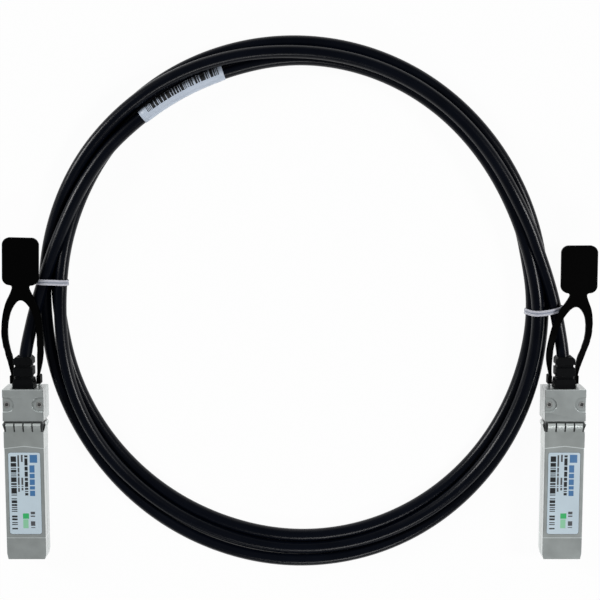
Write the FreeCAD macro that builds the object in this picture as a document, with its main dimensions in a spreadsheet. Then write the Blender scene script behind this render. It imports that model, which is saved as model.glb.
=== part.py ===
import FreeCAD, Part
import math
import os
import re

import Sketcher
from FreeCAD import Placement, Rotation, Vector

# Two metre direct attach copper cable: two plug modules joined by one cable in a flat ring.
# Frame: X across both modules, Y from the mating ends towards the pull tabs, Z up, floor at 0.
# Each module is drawn about X = 0 and then placed at left_x or right_x.

os.makedirs("parts", exist_ok=True)
doc = FreeCAD.newDocument("attach_cable")

# Driving sizes in millimetres
SIZES = {
    # place of the modules
    "left_x": -94.4,
    "right_x": 92.3,
    "module_length": 60.2,
    "rear_face_y": 4.0,
    # die-cast shells
    "body_width": 13.6,
    "body_height": 8.5,
    "body_lift": 2.1,
    "rear_width": 14.1,
    "rear_length": 11.1,
    "rear_step": 0.2,
    "parting_height": 6.5,
    "side_wall": 1.0,
    "roof": 1.1,
    "floor_wall": 1.8,
    "rear_wall": 3.4,
    "nose_length": 7.8,
    "nose_step": 0.15,
    "nose_taper": 0.4,
    "nose_taper_length": 2.0,
    "nose_window": 9.0,
    "rail_width": 0.8,
    "ferrule_room": 3.9,
    "ferrule_room_length": 4.5,
    # circuit board
    "board_thickness": 1.0,
    "board_gap": 0.1,
    "board_recess": 1.5,
    "board_rear_gap": 5.6,
    "edge_width": 9.2,
    "edge_length": 8.4,
    "edge_bevel": 0.5,
    "pad_pitch": 0.8,
    "pad_width": 0.5,
    "pad_length": 2.8,
    "pad_setback": 0.6,
    "pad_height": 0.06,
    "chip_width": 3.9,
    "chip_length": 4.9,
    "chip_height": 1.4,
    "chip_offset": 5.2,
    # cable and its anchor
    "cable_diameter": 4.4,
    "core_diameter": 3.4,
    "core_length": 9.5,
    "wire_diameter": 1.1,
    "wire_landing": 2.6,
    "ferrule_wall": 0.8,
    "ferrule_length": 3.2,
    "crimp_depth": 0.25,
    "cord_start": 0.5,
    # strain relief boot
    "boot_length": 11.0,
    "boot_width": 6.6,
    "boot_height": 6.0,
    "boot_flange_width": 7.3,
    "boot_flange_length": 3.4,
    "groove_width": 1.0,
    "groove_pitch": 3.9,
    "groove_depth": 0.55,
    "spigot_diameter": 5.0,
    "spigot_clearance": 0.1,
    "collar_plate": 1.2,
    "collar_plate_width": 7.0,
    "boot_bore_gap": 0.05,
    # screws
    "screw_x": 5.6,
    "screw_setback": 5.35,
    "screw_head": 2.1,
    "screw_head_height": 0.6,
    "screw_shank": 1.4,
    "screw_length": 5.6,
    "screw_gap": 0.08,
    "socket_flats": 1.1,
    "socket_depth": 0.4,
    "screw_recess": 2.5,
    "screw_recess_depth": 0.5,
    # label
    "label_width": 11.1,
    "label_front_margin": 1.3,
    "label_rear_margin": 1.5,
    "label_corner": 0.9,
    "label_thickness": 0.12,
    "label_gap": 0.1,
    # shield collar
    "collar_setback": 20.6,
    "collar_band": 5.7,
    "collar_sheet": 0.2,
    "collar_proud": 0.08,
    "collar_gap": 0.04,
    "collar_peak": 0.9,
    "finger_length": 3.1,
    "finger_pitch": 3.12,
    "finger_slot": 0.5,
    "finger_rise": 0.7,
    "finger_tip": 0.8,
    # release slider
    "slider_width": 5.8,
    "slider_thickness": 0.6,
    "slider_gap": 0.3,
    "slider_lift": 0.3,
    "slider_slack": 0.15,
    "slider_rear_width": 9.8,
    "slider_bar_start": 3.0,
    "slider_bar_length": 2.6,
    "ear_thickness": 0.55,
    "ear_top": 4.4,
    "ear_reach": 3.6,
    "latch_setback": 24.2,
    "latch_length": 3.2,
    "latch_width": 2.6,
    "latch_drop": 1.0,
    "prong_gap": 0.3,
    "prong_reach": 2.8,
    "wedge_length": 1.5,
    "wedge_drop": 0.6,
    "lug_width": 1.8,
    "lug_drop": 1.7,
    # slider spring
    "spring_diameter": 1.5,
    "spring_wire": 0.28,
    "spring_length": 6.9,
    "spring_turns": 7,
    "spring_seat": 1.4,
    "spring_seat_gap": 0.05,
    "spring_pocket": 2.2,
    "spring_height": 1.35,
    "spring_floor": 0.45,
    # pull tab
    "tab_under": 9.2,
    "tab_thickness": 1.5,
    "tab_low_under": 4.6,
    "tab_rise_start": 5.2,
    "tab_rise_length": 15.6,
    "left_tab_length": 52.3,
    "right_tab_length": 49.6,
    "paddle_width": 12.4,
    "paddle_length": 16.3,
    "paddle_corner": 2.6,
    "neck_width": 5.6,
    "neck_fillet": 0.8,
    "arm_spread": 14.0,
    "arm_width": 2.15,
    "arm_cover": 0.45,
    "arm_block_length": 3.0,
    "block_under": 1.5,
    "block_top": 5.6,
    # ring of cable
    "ring_x": 0.0,
    "ring_y": 32.2,
    "ring_half_x": 83.4,
    "ring_half_y": 86.8,
    "tie_width": 2.0,
    "tie_thickness": 0.5,
    "sleeve_length": 33.0,
    "sleeve_thickness": 0.35,
}

sheet = doc.addObject("Spreadsheet::Sheet", "dim")
for row, (alias, number) in enumerate(SIZES.items(), start=1):
    sheet.set(f"A{row}", alias)
    sheet.set(f"B{row}", str(number))
    sheet.setAlias(f"B{row}", alias)
doc.recompute()

# Derived places, as formulas of the driving sizes
MATING = "(rear_face_y - module_length)"
REAR_FRONT = "(rear_face_y - rear_length)"
BODY_TOP = "(body_lift + body_height)"
REAR_TOP = "(body_lift + body_height + rear_step)"
ROOF_UNDER = "(body_lift + body_height - roof)"
FLOOR_TOP = "(body_lift + floor_wall)"
BOARD_UNDER = "(parting_height - board_thickness / 2)"
BOARD_TOP = "(parting_height + board_thickness / 2)"
CAVITY_X = "(body_width / 2 - side_wall)"
WELL_X = "(body_width / 2 - side_wall - rail_width)"
WALL_INSIDE = "(rear_face_y - rear_wall)"
ROOM_FRONT = "(rear_face_y - rear_wall - ferrule_room_length)"
SCREW_Y = "(rear_face_y - screw_setback)"
LABEL_REAR = "(rear_face_y - collar_setback - label_rear_margin)"
LABEL_FRONT = "(rear_face_y - module_length + nose_length + label_front_margin)"
SEAT_FRONT = "(rear_face_y - collar_setback)"
SEAT_DEPTH = "(collar_sheet - collar_proud + collar_gap)"
LATCH_Y = "(rear_face_y - latch_setback)"
SLIDER_UNDER = "(body_lift + slider_lift)"
SLIDER_TOP = "(body_lift + slider_lift + slider_thickness)"
SLOT_TOP = "(body_lift + slider_lift + slider_thickness + slider_slack)"
SLOT_UNDER = "(body_lift + slider_lift - slider_slack)"
CHANNEL_X = "(slider_width / 2 + slider_gap)"
PRONG_X = "(latch_width / 2 + prong_gap)"
PRONG_TIP = "(rear_face_y - latch_setback - prong_reach)"
FORK_END = "(rear_face_y - latch_setback + latch_length)"
BAR_FRONT = "(rear_face_y - slider_bar_start)"
EAR_OUT = "(slider_rear_width / 2)"
EAR_IN = "(slider_rear_width / 2 - ear_thickness)"
EAR_END = "(rear_face_y + ear_reach)"
SPRING_REAR = "(rear_face_y - spring_seat)"
SPRING_FRONT = "(rear_face_y - spring_seat - spring_length)"
BOOT_END = "(rear_face_y + boot_length)"
BOARD_FRONT = "(rear_face_y - module_length + board_recess)"
BOARD_REAR = "(rear_face_y - rear_wall - ferrule_room_length - board_rear_gap)"
CORE_FRONT = "(rear_face_y + cord_start - core_length)"


def formula(text):
    """A formula of size names, as an expression of the sheet's cells."""
    def with_sheet(found):
        word = found.group(0)
        return f"dim.{word}" if word in SIZES else word
    return re.sub(r"[a-z][a-z_]*", with_sheet, text)


def value(text):
    """The number that a formula gives now."""
    return float(sheet.evalExpression(formula(text)))


def bind(item, **formulas):
    """Bind properties of an object to formulas; two underscores stand for a dot."""
    for name, text in formulas.items():
        item.setExpression(name.replace("__", "."), formula(text))


class Casting:
    """One solid piece made of sketched features, placed at a module's centre line."""

    def __init__(self, module, label):
        self.body = doc.addObject("PartDesign::Body", f"{module}_{label}")
        self.body.Label = self.body.Name
        bind(self.body, Placement__Base__x=f"{module}_x")
        self.count = 0

    def name(self, kind):
        self.count += 1
        return f"{self.body.Name}_{kind}_{self.count}"

    def sketch(self, plane, offset):
        item = self.body.newObject("Sketcher::SketchObject", self.name("sketch"))
        for feature in self.body.Origin.OriginFeatures:
            if feature.Role == plane:
                item.AttachmentSupport = [(feature, "")]
        item.MapMode = "FlatFace"
        bind(item, AttachmentOffset__Base__z=offset)
        return item

    def polygon(self, points, plane="XY_Plane", offset="0"):
        """A closed outline whose corners are pairs of formulas."""
        item = self.sketch(plane, offset)
        corners = [Vector(value(x), value(y), 0) for x, y in points]
        total = len(corners)
        for index, corner in enumerate(corners):
            item.addGeometry(Part.LineSegment(corner, corners[(index + 1) % total]), False)
        for index in range(total):
            item.addConstraint(Sketcher.Constraint("Coincident", index, 2, (index + 1) % total, 1))
        for index, (x, y) in enumerate(points):
            corner = corners[index]
            for kind, text, number in (("DistanceX", x, corner.x), ("DistanceY", y, corner.y)):
                place = item.addConstraint(Sketcher.Constraint(kind, -1, 1, index, 1, number))
                item.setExpression(f"Constraints[{place}]", formula(text))
        return item

    def rectangle(self, low_x, high_x, low_y, high_y, plane="XY_Plane", offset="0"):
        corners = [(low_x, low_y), (high_x, low_y), (high_x, high_y), (low_x, high_y)]
        return self.polygon(corners, plane, offset)

    def circle(self, x, y, diameter, plane="XY_Plane", offset="0"):
        item = self.sketch(plane, offset)
        centre = Vector(value(x), value(y), 0)
        item.addGeometry(Part.Circle(centre, Vector(0, 0, 1), value(diameter) / 2), False)
        for kind, text, number in (("DistanceX", x, centre.x), ("DistanceY", y, centre.y)):
            place = item.addConstraint(Sketcher.Constraint(kind, -1, 1, 0, 3, number))
            item.setExpression(f"Constraints[{place}]", formula(text))
        place = item.addConstraint(Sketcher.Constraint("Diameter", 0, value(diameter)))
        item.setExpression(f"Constraints[{place}]", formula(diameter))
        return item

    def feature(self, kind, profile, length, both_ways=False):
        item = self.body.newObject(f"PartDesign::{kind}", self.name(kind.lower()))
        item.Profile = profile
        item.SideType = "Symmetric" if both_ways else "One side"
        bind(item, Length=length)
        profile.Visibility = False
        return item

    def pad(self, profile, length, both_ways=False):
        return self.feature("Pad", profile, length, both_ways)

    def pocket(self, profile, depth, both_ways=False):
        """A cut of the given depth, downwards from a level sketch."""
        return self.feature("Pocket", profile, depth, both_ways)

    def repeat(self, features, axis, count, length):
        """The features again, count times in all, spread over a length along a sketch axis."""
        item = self.body.newObject("PartDesign::LinearPattern", self.name("pattern"))
        item.Originals = features
        item.Direction = axis
        item.Occurrences = count
        bind(item, Length=length)
        self.body.Tip = item
        return item

    def round_edges(self, radius, test):
        """Fillet the edges whose middle point passes the test."""
        doc.recompute()
        base = self.body.Tip
        chosen = []
        for number, edge in enumerate(base.Shape.Edges, start=1):
            if test(edge, edge.CenterOfMass):
                chosen.append(f"Edge{number}")
        item = self.body.newObject("PartDesign::Fillet", self.name("fillet"))
        item.Base = (base, chosen)
        bind(item, Radius=radius)
        return item


def shape_piece(label, shape, x="0"):
    """A piece whose solids are made directly, moved sideways to its place."""
    item = doc.addObject("Part::Feature", label)
    item.Label = label
    item.Shape = shape
    item.Placement = Placement(Vector(value(x), 0, 0), Rotation()).multiply(shape.Placement)
    return item


def block(low, high):
    """A plain block between two corners."""
    size = high - low
    return Part.makeBox(size.x, size.y, size.z, low)


def rod_along_y(radius, start_y, end_y, x, z):
    return Part.makeCylinder(radius, end_y - start_y, Vector(x, start_y, z), Vector(0, 1, 0))


def nose_outline(rear_y):
    """Plan outline of the front body, its mating corners drawn in slightly."""
    half = "body_width / 2"
    tapered = "(body_width / 2 - nose_taper)"
    shoulder = f"{MATING} + nose_taper_length"
    return [
        (f"-{tapered}", MATING), (tapered, MATING), (half, shoulder),
        (half, rear_y), (f"-{half}", rear_y), (f"-{half}", shoulder),
    ]


def room_outline(front_y):
    """Plan outline of the hollow: wide at the board, narrow round the cable's ferrule."""
    return [
        (f"-{CAVITY_X}", front_y), (CAVITY_X, front_y), (CAVITY_X, ROOM_FRONT),
        ("ferrule_room", ROOM_FRONT), ("ferrule_room", WALL_INSIDE),
        ("-ferrule_room", WALL_INSIDE), ("-ferrule_room", ROOM_FRONT), (f"-{CAVITY_X}", ROOM_FRONT),
    ]


def cut_collar_sides(piece, low_z, high_z):
    """The shallow seat of the shield collar in both side walls."""
    for sign in (1, -1):
        inner = f"{sign} * (body_width / 2 - {SEAT_DEPTH})"
        outer = f"{sign} * (body_width / 2 + 1)"
        low, high = (inner, outer) if sign > 0 else (outer, inner)
        seat = piece.rectangle(low, high, SEAT_FRONT, REAR_FRONT, offset=high_z)
        piece.pocket(seat, f"{high_z} - ({low_z})")


def cut_boot_hole(piece):
    """The round hole in the rear wall for the boot's spigot, half in each shell."""
    middle = f"-({WALL_INSIDE} + rear_wall / 2)"
    hole = piece.circle("0", "parting_height", "spigot_diameter + 2 * spigot_clearance", "XZ_Plane", middle)
    piece.pocket(hole, "rear_wall + 0.2", both_ways=True)


def make_bottom_shell(module):
    shell = Casting(module, "bottom_shell")
    tray = shell.polygon(nose_outline(f"{REAR_FRONT} + 1"), offset="body_lift")
    shell.pad(tray, "parting_height - body_lift")
    rear = shell.rectangle("-rear_width / 2", "rear_width / 2", REAR_FRONT, "rear_face_y")
    shell.pad(rear, "parting_height")
    # hollow: the board's bed, the well under the board and the open mating end
    bed = shell.polygon(room_outline(f"{MATING} - 1"), offset="parting_height")
    shell.pocket(bed, "board_thickness / 2")
    well = shell.rectangle(f"-{WELL_X}", WELL_X, f"{MATING} - 1", ROOM_FRONT, offset="parting_height")
    shell.pocket(well, f"parting_height - {FLOOR_TOP}")
    room = shell.rectangle("-ferrule_room", "ferrule_room", f"{ROOM_FRONT} - 1", WALL_INSIDE,
                           offset="parting_height")
    shell.pocket(room, f"parting_height - {FLOOR_TOP}")
    window = shell.rectangle(f"-{WELL_X}", WELL_X, f"{MATING} - 1", f"{MATING} + nose_window",
                             offset=f"{FLOOR_TOP} + 1")
    shell.pocket(window, "floor_wall + 2")
    # way of the release slider: channel, slot through the rear block and slots for the ears
    channel = shell.rectangle(f"-{CHANNEL_X}", CHANNEL_X, f"{PRONG_TIP} - slider_gap", REAR_FRONT,
                              offset=SLOT_TOP)
    shell.pocket(channel, f"{SLOT_TOP} - body_lift + 0.5")
    ear_slot = "(slider_rear_width / 2 + slider_slack)"
    bar_front = f"({BAR_FRONT} - slider_gap)"
    slot = shell.polygon([
        (f"-{CHANNEL_X}", f"{REAR_FRONT} - 0.5"), (CHANNEL_X, f"{REAR_FRONT} - 0.5"), (CHANNEL_X, bar_front),
        (ear_slot, bar_front), (ear_slot, "rear_face_y + 1"), (f"-{ear_slot}", "rear_face_y + 1"),
        (f"-{ear_slot}", bar_front), (f"-{CHANNEL_X}", bar_front),
    ], offset=SLOT_TOP)
    shell.pocket(slot, f"{SLOT_TOP} - {SLOT_UNDER}")
    for sign in (1, -1):
        inner = f"{sign} * ({EAR_IN} - slider_slack)"
        outer = f"{sign} * {ear_slot}"
        low, high = (inner, outer) if sign > 0 else (outer, inner)
        ear = shell.rectangle(low, high, bar_front, "rear_face_y + 1", offset="ear_top + slider_slack")
        shell.pocket(ear, f"ear_top + slider_slack - {SLOT_TOP} + 0.1")
    pocket = shell.rectangle("-spring_pocket / 2", "spring_pocket / 2",
                             f"{SPRING_FRONT} - slider_thickness - slider_gap", SPRING_REAR,
                             offset=f"{SLOT_UNDER} + 0.1")
    shell.pocket(pocket, f"{SLOT_UNDER} + 0.1 - spring_floor")
    cut_boot_hole(shell)
    for sign in (1, -1):
        post = shell.circle(f"{sign} * screw_x", SCREW_Y, "screw_shank + 2 * screw_gap",
                            offset="parting_height")
        shell.pocket(post, f"parting_height - ({REAR_TOP} - screw_recess_depth - screw_length) + 0.2")
    cut_collar_sides(shell, "body_lift - 1", "parting_height")
    seat = shell.rectangle("-body_width / 2 - 1", "body_width / 2 + 1", SEAT_FRONT, REAR_FRONT,
                           offset=f"body_lift + {SEAT_DEPTH}")
    shell.pocket(seat, f"{SEAT_DEPTH} + 1")
    # latch boss between the slider's prongs
    latch_front = f"{LATCH_Y} - latch_length / 2"
    latch_rear = f"{LATCH_Y} + latch_length / 2"
    boss = shell.polygon([
        (latch_front, "body_lift"), (latch_rear, "body_lift - latch_drop"),
        (latch_rear, f"{SLOT_TOP} + 0.2"), (latch_front, f"{SLOT_TOP} + 0.2"),
    ], "YZ_Plane")
    shell.pad(boss, "latch_width", both_ways=True)
    return shell.body


def make_top_shell(module):
    shell = Casting(module, "top_shell")
    roof = shell.polygon(nose_outline(f"{REAR_FRONT} + 1"), offset="parting_height")
    shell.pad(roof, f"{BODY_TOP} - parting_height")
    rear = shell.rectangle("-rear_width / 2", "rear_width / 2", REAR_FRONT, "rear_face_y",
                           offset="parting_height")
    shell.pad(rear, f"{REAR_TOP} - parting_height")
    hollow = shell.polygon(room_outline(f"{MATING} - 1"), offset=ROOF_UNDER)
    shell.pocket(hollow, f"{ROOF_UNDER} - parting_height + 1")
    cut_boot_hole(shell)
    # outside: stepped nose, label recess, collar seat with its shallow peak
    nose = shell.rectangle("-body_width", "body_width", f"{MATING} - 1", f"{MATING} + nose_length",
                           offset=f"{BODY_TOP} + 1")
    shell.pocket(nose, "nose_step + 1")
    recess_x = "(label_width / 2 + label_gap)"
    recess = shell.rectangle(f"-{recess_x}", recess_x, f"{LABEL_FRONT} - label_gap",
                             f"{LABEL_REAR} + label_gap", offset=f"{BODY_TOP} + 1")
    shell.pocket(recess, "label_thickness + 1")
    shell.round_edges("label_corner", lambda edge, middle: edge.Length < 1
                      and abs(abs(middle.x) - value(recess_x)) < 0.01
                      and middle.z > value(ROOF_UNDER)
                      and value(LABEL_FRONT) - 1 < middle.y < value(LABEL_REAR) + 1)
    cut_collar_sides(shell, "parting_height - 1", f"{BODY_TOP} + 1")
    wide = "(body_width / 2 + 1)"
    seat = shell.polygon([
        (f"-{wide}", SEAT_FRONT), ("0", f"{SEAT_FRONT} + collar_peak"), (wide, SEAT_FRONT),
        (wide, REAR_FRONT), (f"-{wide}", REAR_FRONT),
    ], offset=f"{BODY_TOP} + 1")
    shell.pocket(seat, f"{SEAT_DEPTH} + 1")
    # screw seats: a round recess open to the side, a counterbore and a clear hole
    for sign in (1, -1):
        centre = f"{sign} * screw_x"
        dish = shell.circle(centre, SCREW_Y, "2 * screw_recess", offset=f"{REAR_TOP} + 1")
        shell.pocket(dish, "screw_recess_depth + 1")
        edge = f"{sign} * (rear_width / 2 + 1)"
        low, high = (centre, edge) if sign > 0 else (edge, centre)
        way_out = shell.rectangle(low, high, f"{SCREW_Y} - screw_recess", f"{SCREW_Y} + screw_recess",
                                  offset=f"{REAR_TOP} + 1")
        shell.pocket(way_out, "screw_recess_depth + 1")
        sink = shell.circle(centre, SCREW_Y, "screw_head + 2 * screw_gap", offset=f"{REAR_TOP} + 1")
        shell.pocket(sink, "screw_recess_depth + screw_head_height + 1")
        hole = shell.circle(centre, SCREW_Y, "screw_shank + 2 * screw_gap", offset=f"{REAR_TOP} + 1")
        shell.pocket(hole, f"{REAR_TOP} - parting_height + 2")
    return shell.body


def finger_profile(base_y, level, sign, turned):
    """Section of one bowed contact finger, from the band to its turned-in tip."""
    tip_y = f"{base_y} + finger_length"
    bend_y = f"({tip_y} - finger_tip)"
    out = f"{sign}"
    points = [
        (f"{base_y} - 0.3", f"{level}"),
        (base_y, f"{level}"),
        (bend_y, f"{level} + {out} * finger_rise"),
        (tip_y, f"{level} + {out} * finger_rise * 0.45"),
        (tip_y, f"{level} + {out} * (finger_rise * 0.45 - collar_sheet)"),
        (bend_y, f"{level} + {out} * (finger_rise - collar_sheet)"),
        (base_y, f"{level} - {out} * collar_sheet"),
        (f"{base_y} - 0.3", f"{level} - {out} * collar_sheet"),
    ]
    return [(second, first) for first, second in points] if turned else points


def make_shield_collar(module):
    collar = Casting(module, "shield_collar")
    half = "(body_width / 2 + collar_proud)"
    inside = "(body_width / 2 + collar_proud - collar_sheet)"
    low = "(body_lift - collar_proud)"
    top = f"({BODY_TOP} + collar_proud)"
    middle = f"-({SEAT_FRONT} + collar_gap + collar_band / 2)"
    outer = collar.rectangle(f"-{half}", half, low, top, "XZ_Plane", middle)
    collar.pad(outer, "collar_band", both_ways=True)
    hole = collar.rectangle(f"-{inside}", inside, f"{low} + collar_sheet", f"{top} - collar_sheet",
                            "XZ_Plane", middle)
    collar.pocket(hole, "collar_band + 1", both_ways=True)
    front = f"({SEAT_FRONT} + collar_gap)"
    wide = "(body_width / 2 + 1)"
    peak = collar.polygon([
        (f"-{wide}", f"{front} - 1"), (wide, f"{front} - 1"), (wide, front),
        ("0", f"{front} + collar_peak"), (f"-{wide}", front),
    ], offset=f"{top} + 1")
    collar.pocket(peak, "collar_sheet + 1")
    base_y = f"({front} + collar_band)"
    width = "(finger_pitch - finger_slot)"
    for level, sign in ((top, "1"), (low, "-1")):
        profile = collar.polygon(finger_profile(base_y, level, sign, False), "YZ_Plane",
                                 "-1.5 * finger_pitch")
        finger = collar.pad(profile, width, both_ways=True)
        collar.repeat([finger], (collar.body.Origin.OriginFeatures[0], [""]), 4, "3 * finger_pitch")
    centre_z = f"({low} + {top}) / 2"
    for level, sign in ((half, "1"), (f"-{half}", "-1")):
        profile = collar.polygon(finger_profile(base_y, level, sign, True), "XY_Plane",
                                 f"{centre_z} - finger_pitch / 2")
        finger = collar.pad(profile, width, both_ways=True)
        collar.repeat([finger], (collar.body.Origin.OriginFeatures[2], [""]), 2, "finger_pitch")
    return collar.body


def make_label(module):
    label = Casting(module, "label")
    outline = label.rectangle("-label_width / 2", "label_width / 2", LABEL_FRONT, LABEL_REAR,
                              offset=f"{BODY_TOP} - label_thickness")
    label.pad(outline, "label_thickness")
    label.round_edges("label_corner - label_gap", lambda edge, middle: edge.Length < 1)
    return label.body


def make_circuit_board(module):
    board = Casting(module, "circuit_board")
    wide = f"({CAVITY_X} - board_gap)"
    edge = "(edge_width / 2)"
    tip = "(edge_width / 2 - edge_bevel)"
    outline = board.polygon([
        (f"-{tip}", BOARD_FRONT), (tip, BOARD_FRONT), (edge, f"{BOARD_FRONT} + edge_bevel"),
        (edge, f"{BOARD_FRONT} + edge_length"), (wide, f"{BOARD_FRONT} + edge_length"),
        (wide, BOARD_REAR), (f"-{wide}", BOARD_REAR), (f"-{wide}", f"{BOARD_FRONT} + edge_length"),
        (f"-{edge}", f"{BOARD_FRONT} + edge_length"), (f"-{edge}", f"{BOARD_FRONT} + edge_bevel"),
    ], offset=BOARD_UNDER)
    board.pad(outline, "board_thickness")
    return board.body


def make_contact_pads(module):
    """Ten gold pads on each face of the board's edge."""
    per_face = 10
    start = value(f"{BOARD_FRONT} + pad_setback")
    size = Vector(value("pad_width"), value("pad_length"), value("pad_height"))
    pads = []
    for column in range(per_face):
        x = (column - (per_face - 1) / 2) * value("pad_pitch") - size.x / 2
        for z in (value(BOARD_TOP), value(BOARD_UNDER) - size.z):
            corner = Vector(x, start, z)
            pads.append(block(corner, corner + size))
    return shape_piece(f"{module}_contact_pads", Part.makeCompound(pads), f"{module}_x")


def make_memory_chip(module):
    chip = Casting(module, "memory_chip")
    front = f"({BOARD_FRONT} + {BOARD_REAR}) / 2 + chip_offset"
    outline = chip.rectangle("-chip_width / 2", "chip_width / 2", front, f"{front} + chip_length",
                             offset=BOARD_TOP)
    chip.pad(outline, "chip_height")
    return chip.body


def make_cable_anchor(module):
    """The stripped cable end, its wires on the board and the ring crimped round it."""
    axis_z = value("parting_height")
    core_front = value(CORE_FRONT)
    core_radius = value("core_diameter / 2")
    core = doc.addObject("Part::Cylinder", f"{module}_cable_core")
    core.Label = core.Name
    core.Placement = Placement(Vector(), Rotation(Vector(1, 0, 0), -90))
    bind(core, Radius="core_diameter / 2", Height="core_length", Placement__Base__x=f"{module}_x",
         Placement__Base__y=CORE_FRONT, Placement__Base__z="parting_height")
    wire_radius = value("wire_diameter / 2")
    landing = value(f"{BOARD_REAR} - wire_landing")
    wires = []
    for level in (value(BOARD_TOP) + wire_radius, value(BOARD_UNDER) - wire_radius):
        pair = [rod_along_y(wire_radius, landing, core_front, sign * wire_radius, level) for sign in (1, -1)]
        wires += pair
    shape_piece(f"{module}_wire_pairs", Part.makeCompound(wires), f"{module}_x")
    ferrule_end = value(f"{WALL_INSIDE} - collar_plate")
    ferrule_start = ferrule_end - value("ferrule_length")
    outer = core_radius + value("ferrule_wall")
    depth = value("crimp_depth")
    third = value("ferrule_length") / 3
    ring = [
        Vector(0, 0, 0), Vector(core_radius, 0, 0), Vector(outer, 0, 0), Vector(outer, third, 0),
        Vector(outer - depth, third * 1.2, 0), Vector(outer - depth, third * 1.8, 0),
        Vector(outer, third * 2, 0), Vector(outer, third * 3, 0), Vector(core_radius, third * 3, 0),
    ]
    section = Part.Face(Part.makePolygon(ring[1:] + [ring[1]]))
    ferrule = section.revolve(Vector(), Vector(0, 1, 0), 360)
    ferrule.translate(Vector(0, ferrule_start, axis_z))
    shape_piece(f"{module}_crimp_ferrule", ferrule, f"{module}_x")


def make_boot(module):
    """Moulded strain relief: flange, two cross grooves, and a spigot held behind the rear wall."""
    boot = Casting(module, "boot")
    half = "(boot_width / 2)"
    flange = "(boot_flange_width / 2)"
    waist = "(boot_width / 2 - groove_depth)"
    groove_1 = "(rear_face_y + boot_flange_length)"
    groove_2 = "(rear_face_y + boot_flange_length + groove_pitch)"
    right = [
        (flange, "rear_face_y"), (flange, "rear_face_y + 0.6"), (half, groove_1), (waist, groove_1),
        (waist, f"{groove_1} + groove_width"), (half, f"{groove_1} + groove_width"),
        (half, groove_2), (waist, groove_2), (waist, f"{groove_2} + groove_width"),
        (half, f"{groove_2} + groove_width"), (half, f"{BOOT_END} - 0.8"), (f"({half} - 0.8)", BOOT_END),
    ]
    left = [(f"-{x}", y) for x, y in reversed(right)]
    plan = boot.polygon(right + left, offset="parting_height")
    boot.pad(plan, "boot_height", both_ways=True)
    above = "parting_height + boot_height / 2 + 1"
    below = "parting_height - boot_height / 2 + groove_depth"
    for start in (groove_1, groove_2):
        for level in (above, below):
            groove = boot.rectangle("-boot_width", "boot_width", start, f"{start} + groove_width",
                                    offset=level)
            boot.pocket(groove, "groove_depth + 1")
    middle = f"-({WALL_INSIDE} + rear_wall / 2 + 0.5)"
    spigot = boot.circle("0", "parting_height", "spigot_diameter", "XZ_Plane", middle)
    boot.pad(spigot, "rear_wall + 1", both_ways=True)
    plate = boot.rectangle("-collar_plate_width / 2", "collar_plate_width / 2",
                           "parting_height - spigot_diameter / 2", "parting_height + spigot_diameter / 2",
                           "XZ_Plane", f"-({WALL_INSIDE} - collar_plate / 2)")
    boot.pad(plate, "collar_plate", both_ways=True)
    jacket_start = "(rear_face_y + cord_start)"
    bore = boot.circle("0", "parting_height", "cable_diameter + 2 * boot_bore_gap", "XZ_Plane",
                       f"-({jacket_start} + boot_length / 2)")
    boot.pocket(bore, "boot_length", both_ways=True)
    core = boot.circle("0", "parting_height", "core_diameter + 2 * boot_bore_gap", "XZ_Plane",
                       f"-({WALL_INSIDE})")
    boot.pocket(core, "2 * rear_wall + 2 * cord_start + 1", both_ways=True)
    return boot.body


def make_screws(module):
    """Two socket screws, as one group of separate solids."""
    head_top = value(f"{REAR_TOP} - screw_recess_depth")
    head_height = value("screw_head_height")
    under = head_top - head_height
    across = value("socket_flats") / math.sqrt(3)
    socket_depth = value("socket_depth")
    screws = []
    for sign in (1, -1):
        centre = Vector(sign * value("screw_x"), value(SCREW_Y), 0)
        head = Part.makeCylinder(value("screw_head / 2"), head_height, centre + Vector(0, 0, under))
        tip = head_top - value("screw_length")
        shank = Part.makeCylinder(value("screw_shank / 2"), under - tip, centre + Vector(0, 0, tip))
        turns = [math.radians(60 * step) for step in range(6)]
        corners = [Vector(across * math.cos(turn), across * math.sin(turn), 0) for turn in turns]
        hexagon = Part.Face(Part.makePolygon(corners + corners[:1]))
        socket = hexagon.extrude(Vector(0, 0, socket_depth))
        socket.translate(centre + Vector(0, 0, head_top - socket_depth))
        screws.append(head.fuse(shank).removeSplitter().cut(socket))
    return shape_piece(f"{module}_screws", Part.makeCompound(screws), f"{module}_x")


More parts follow.
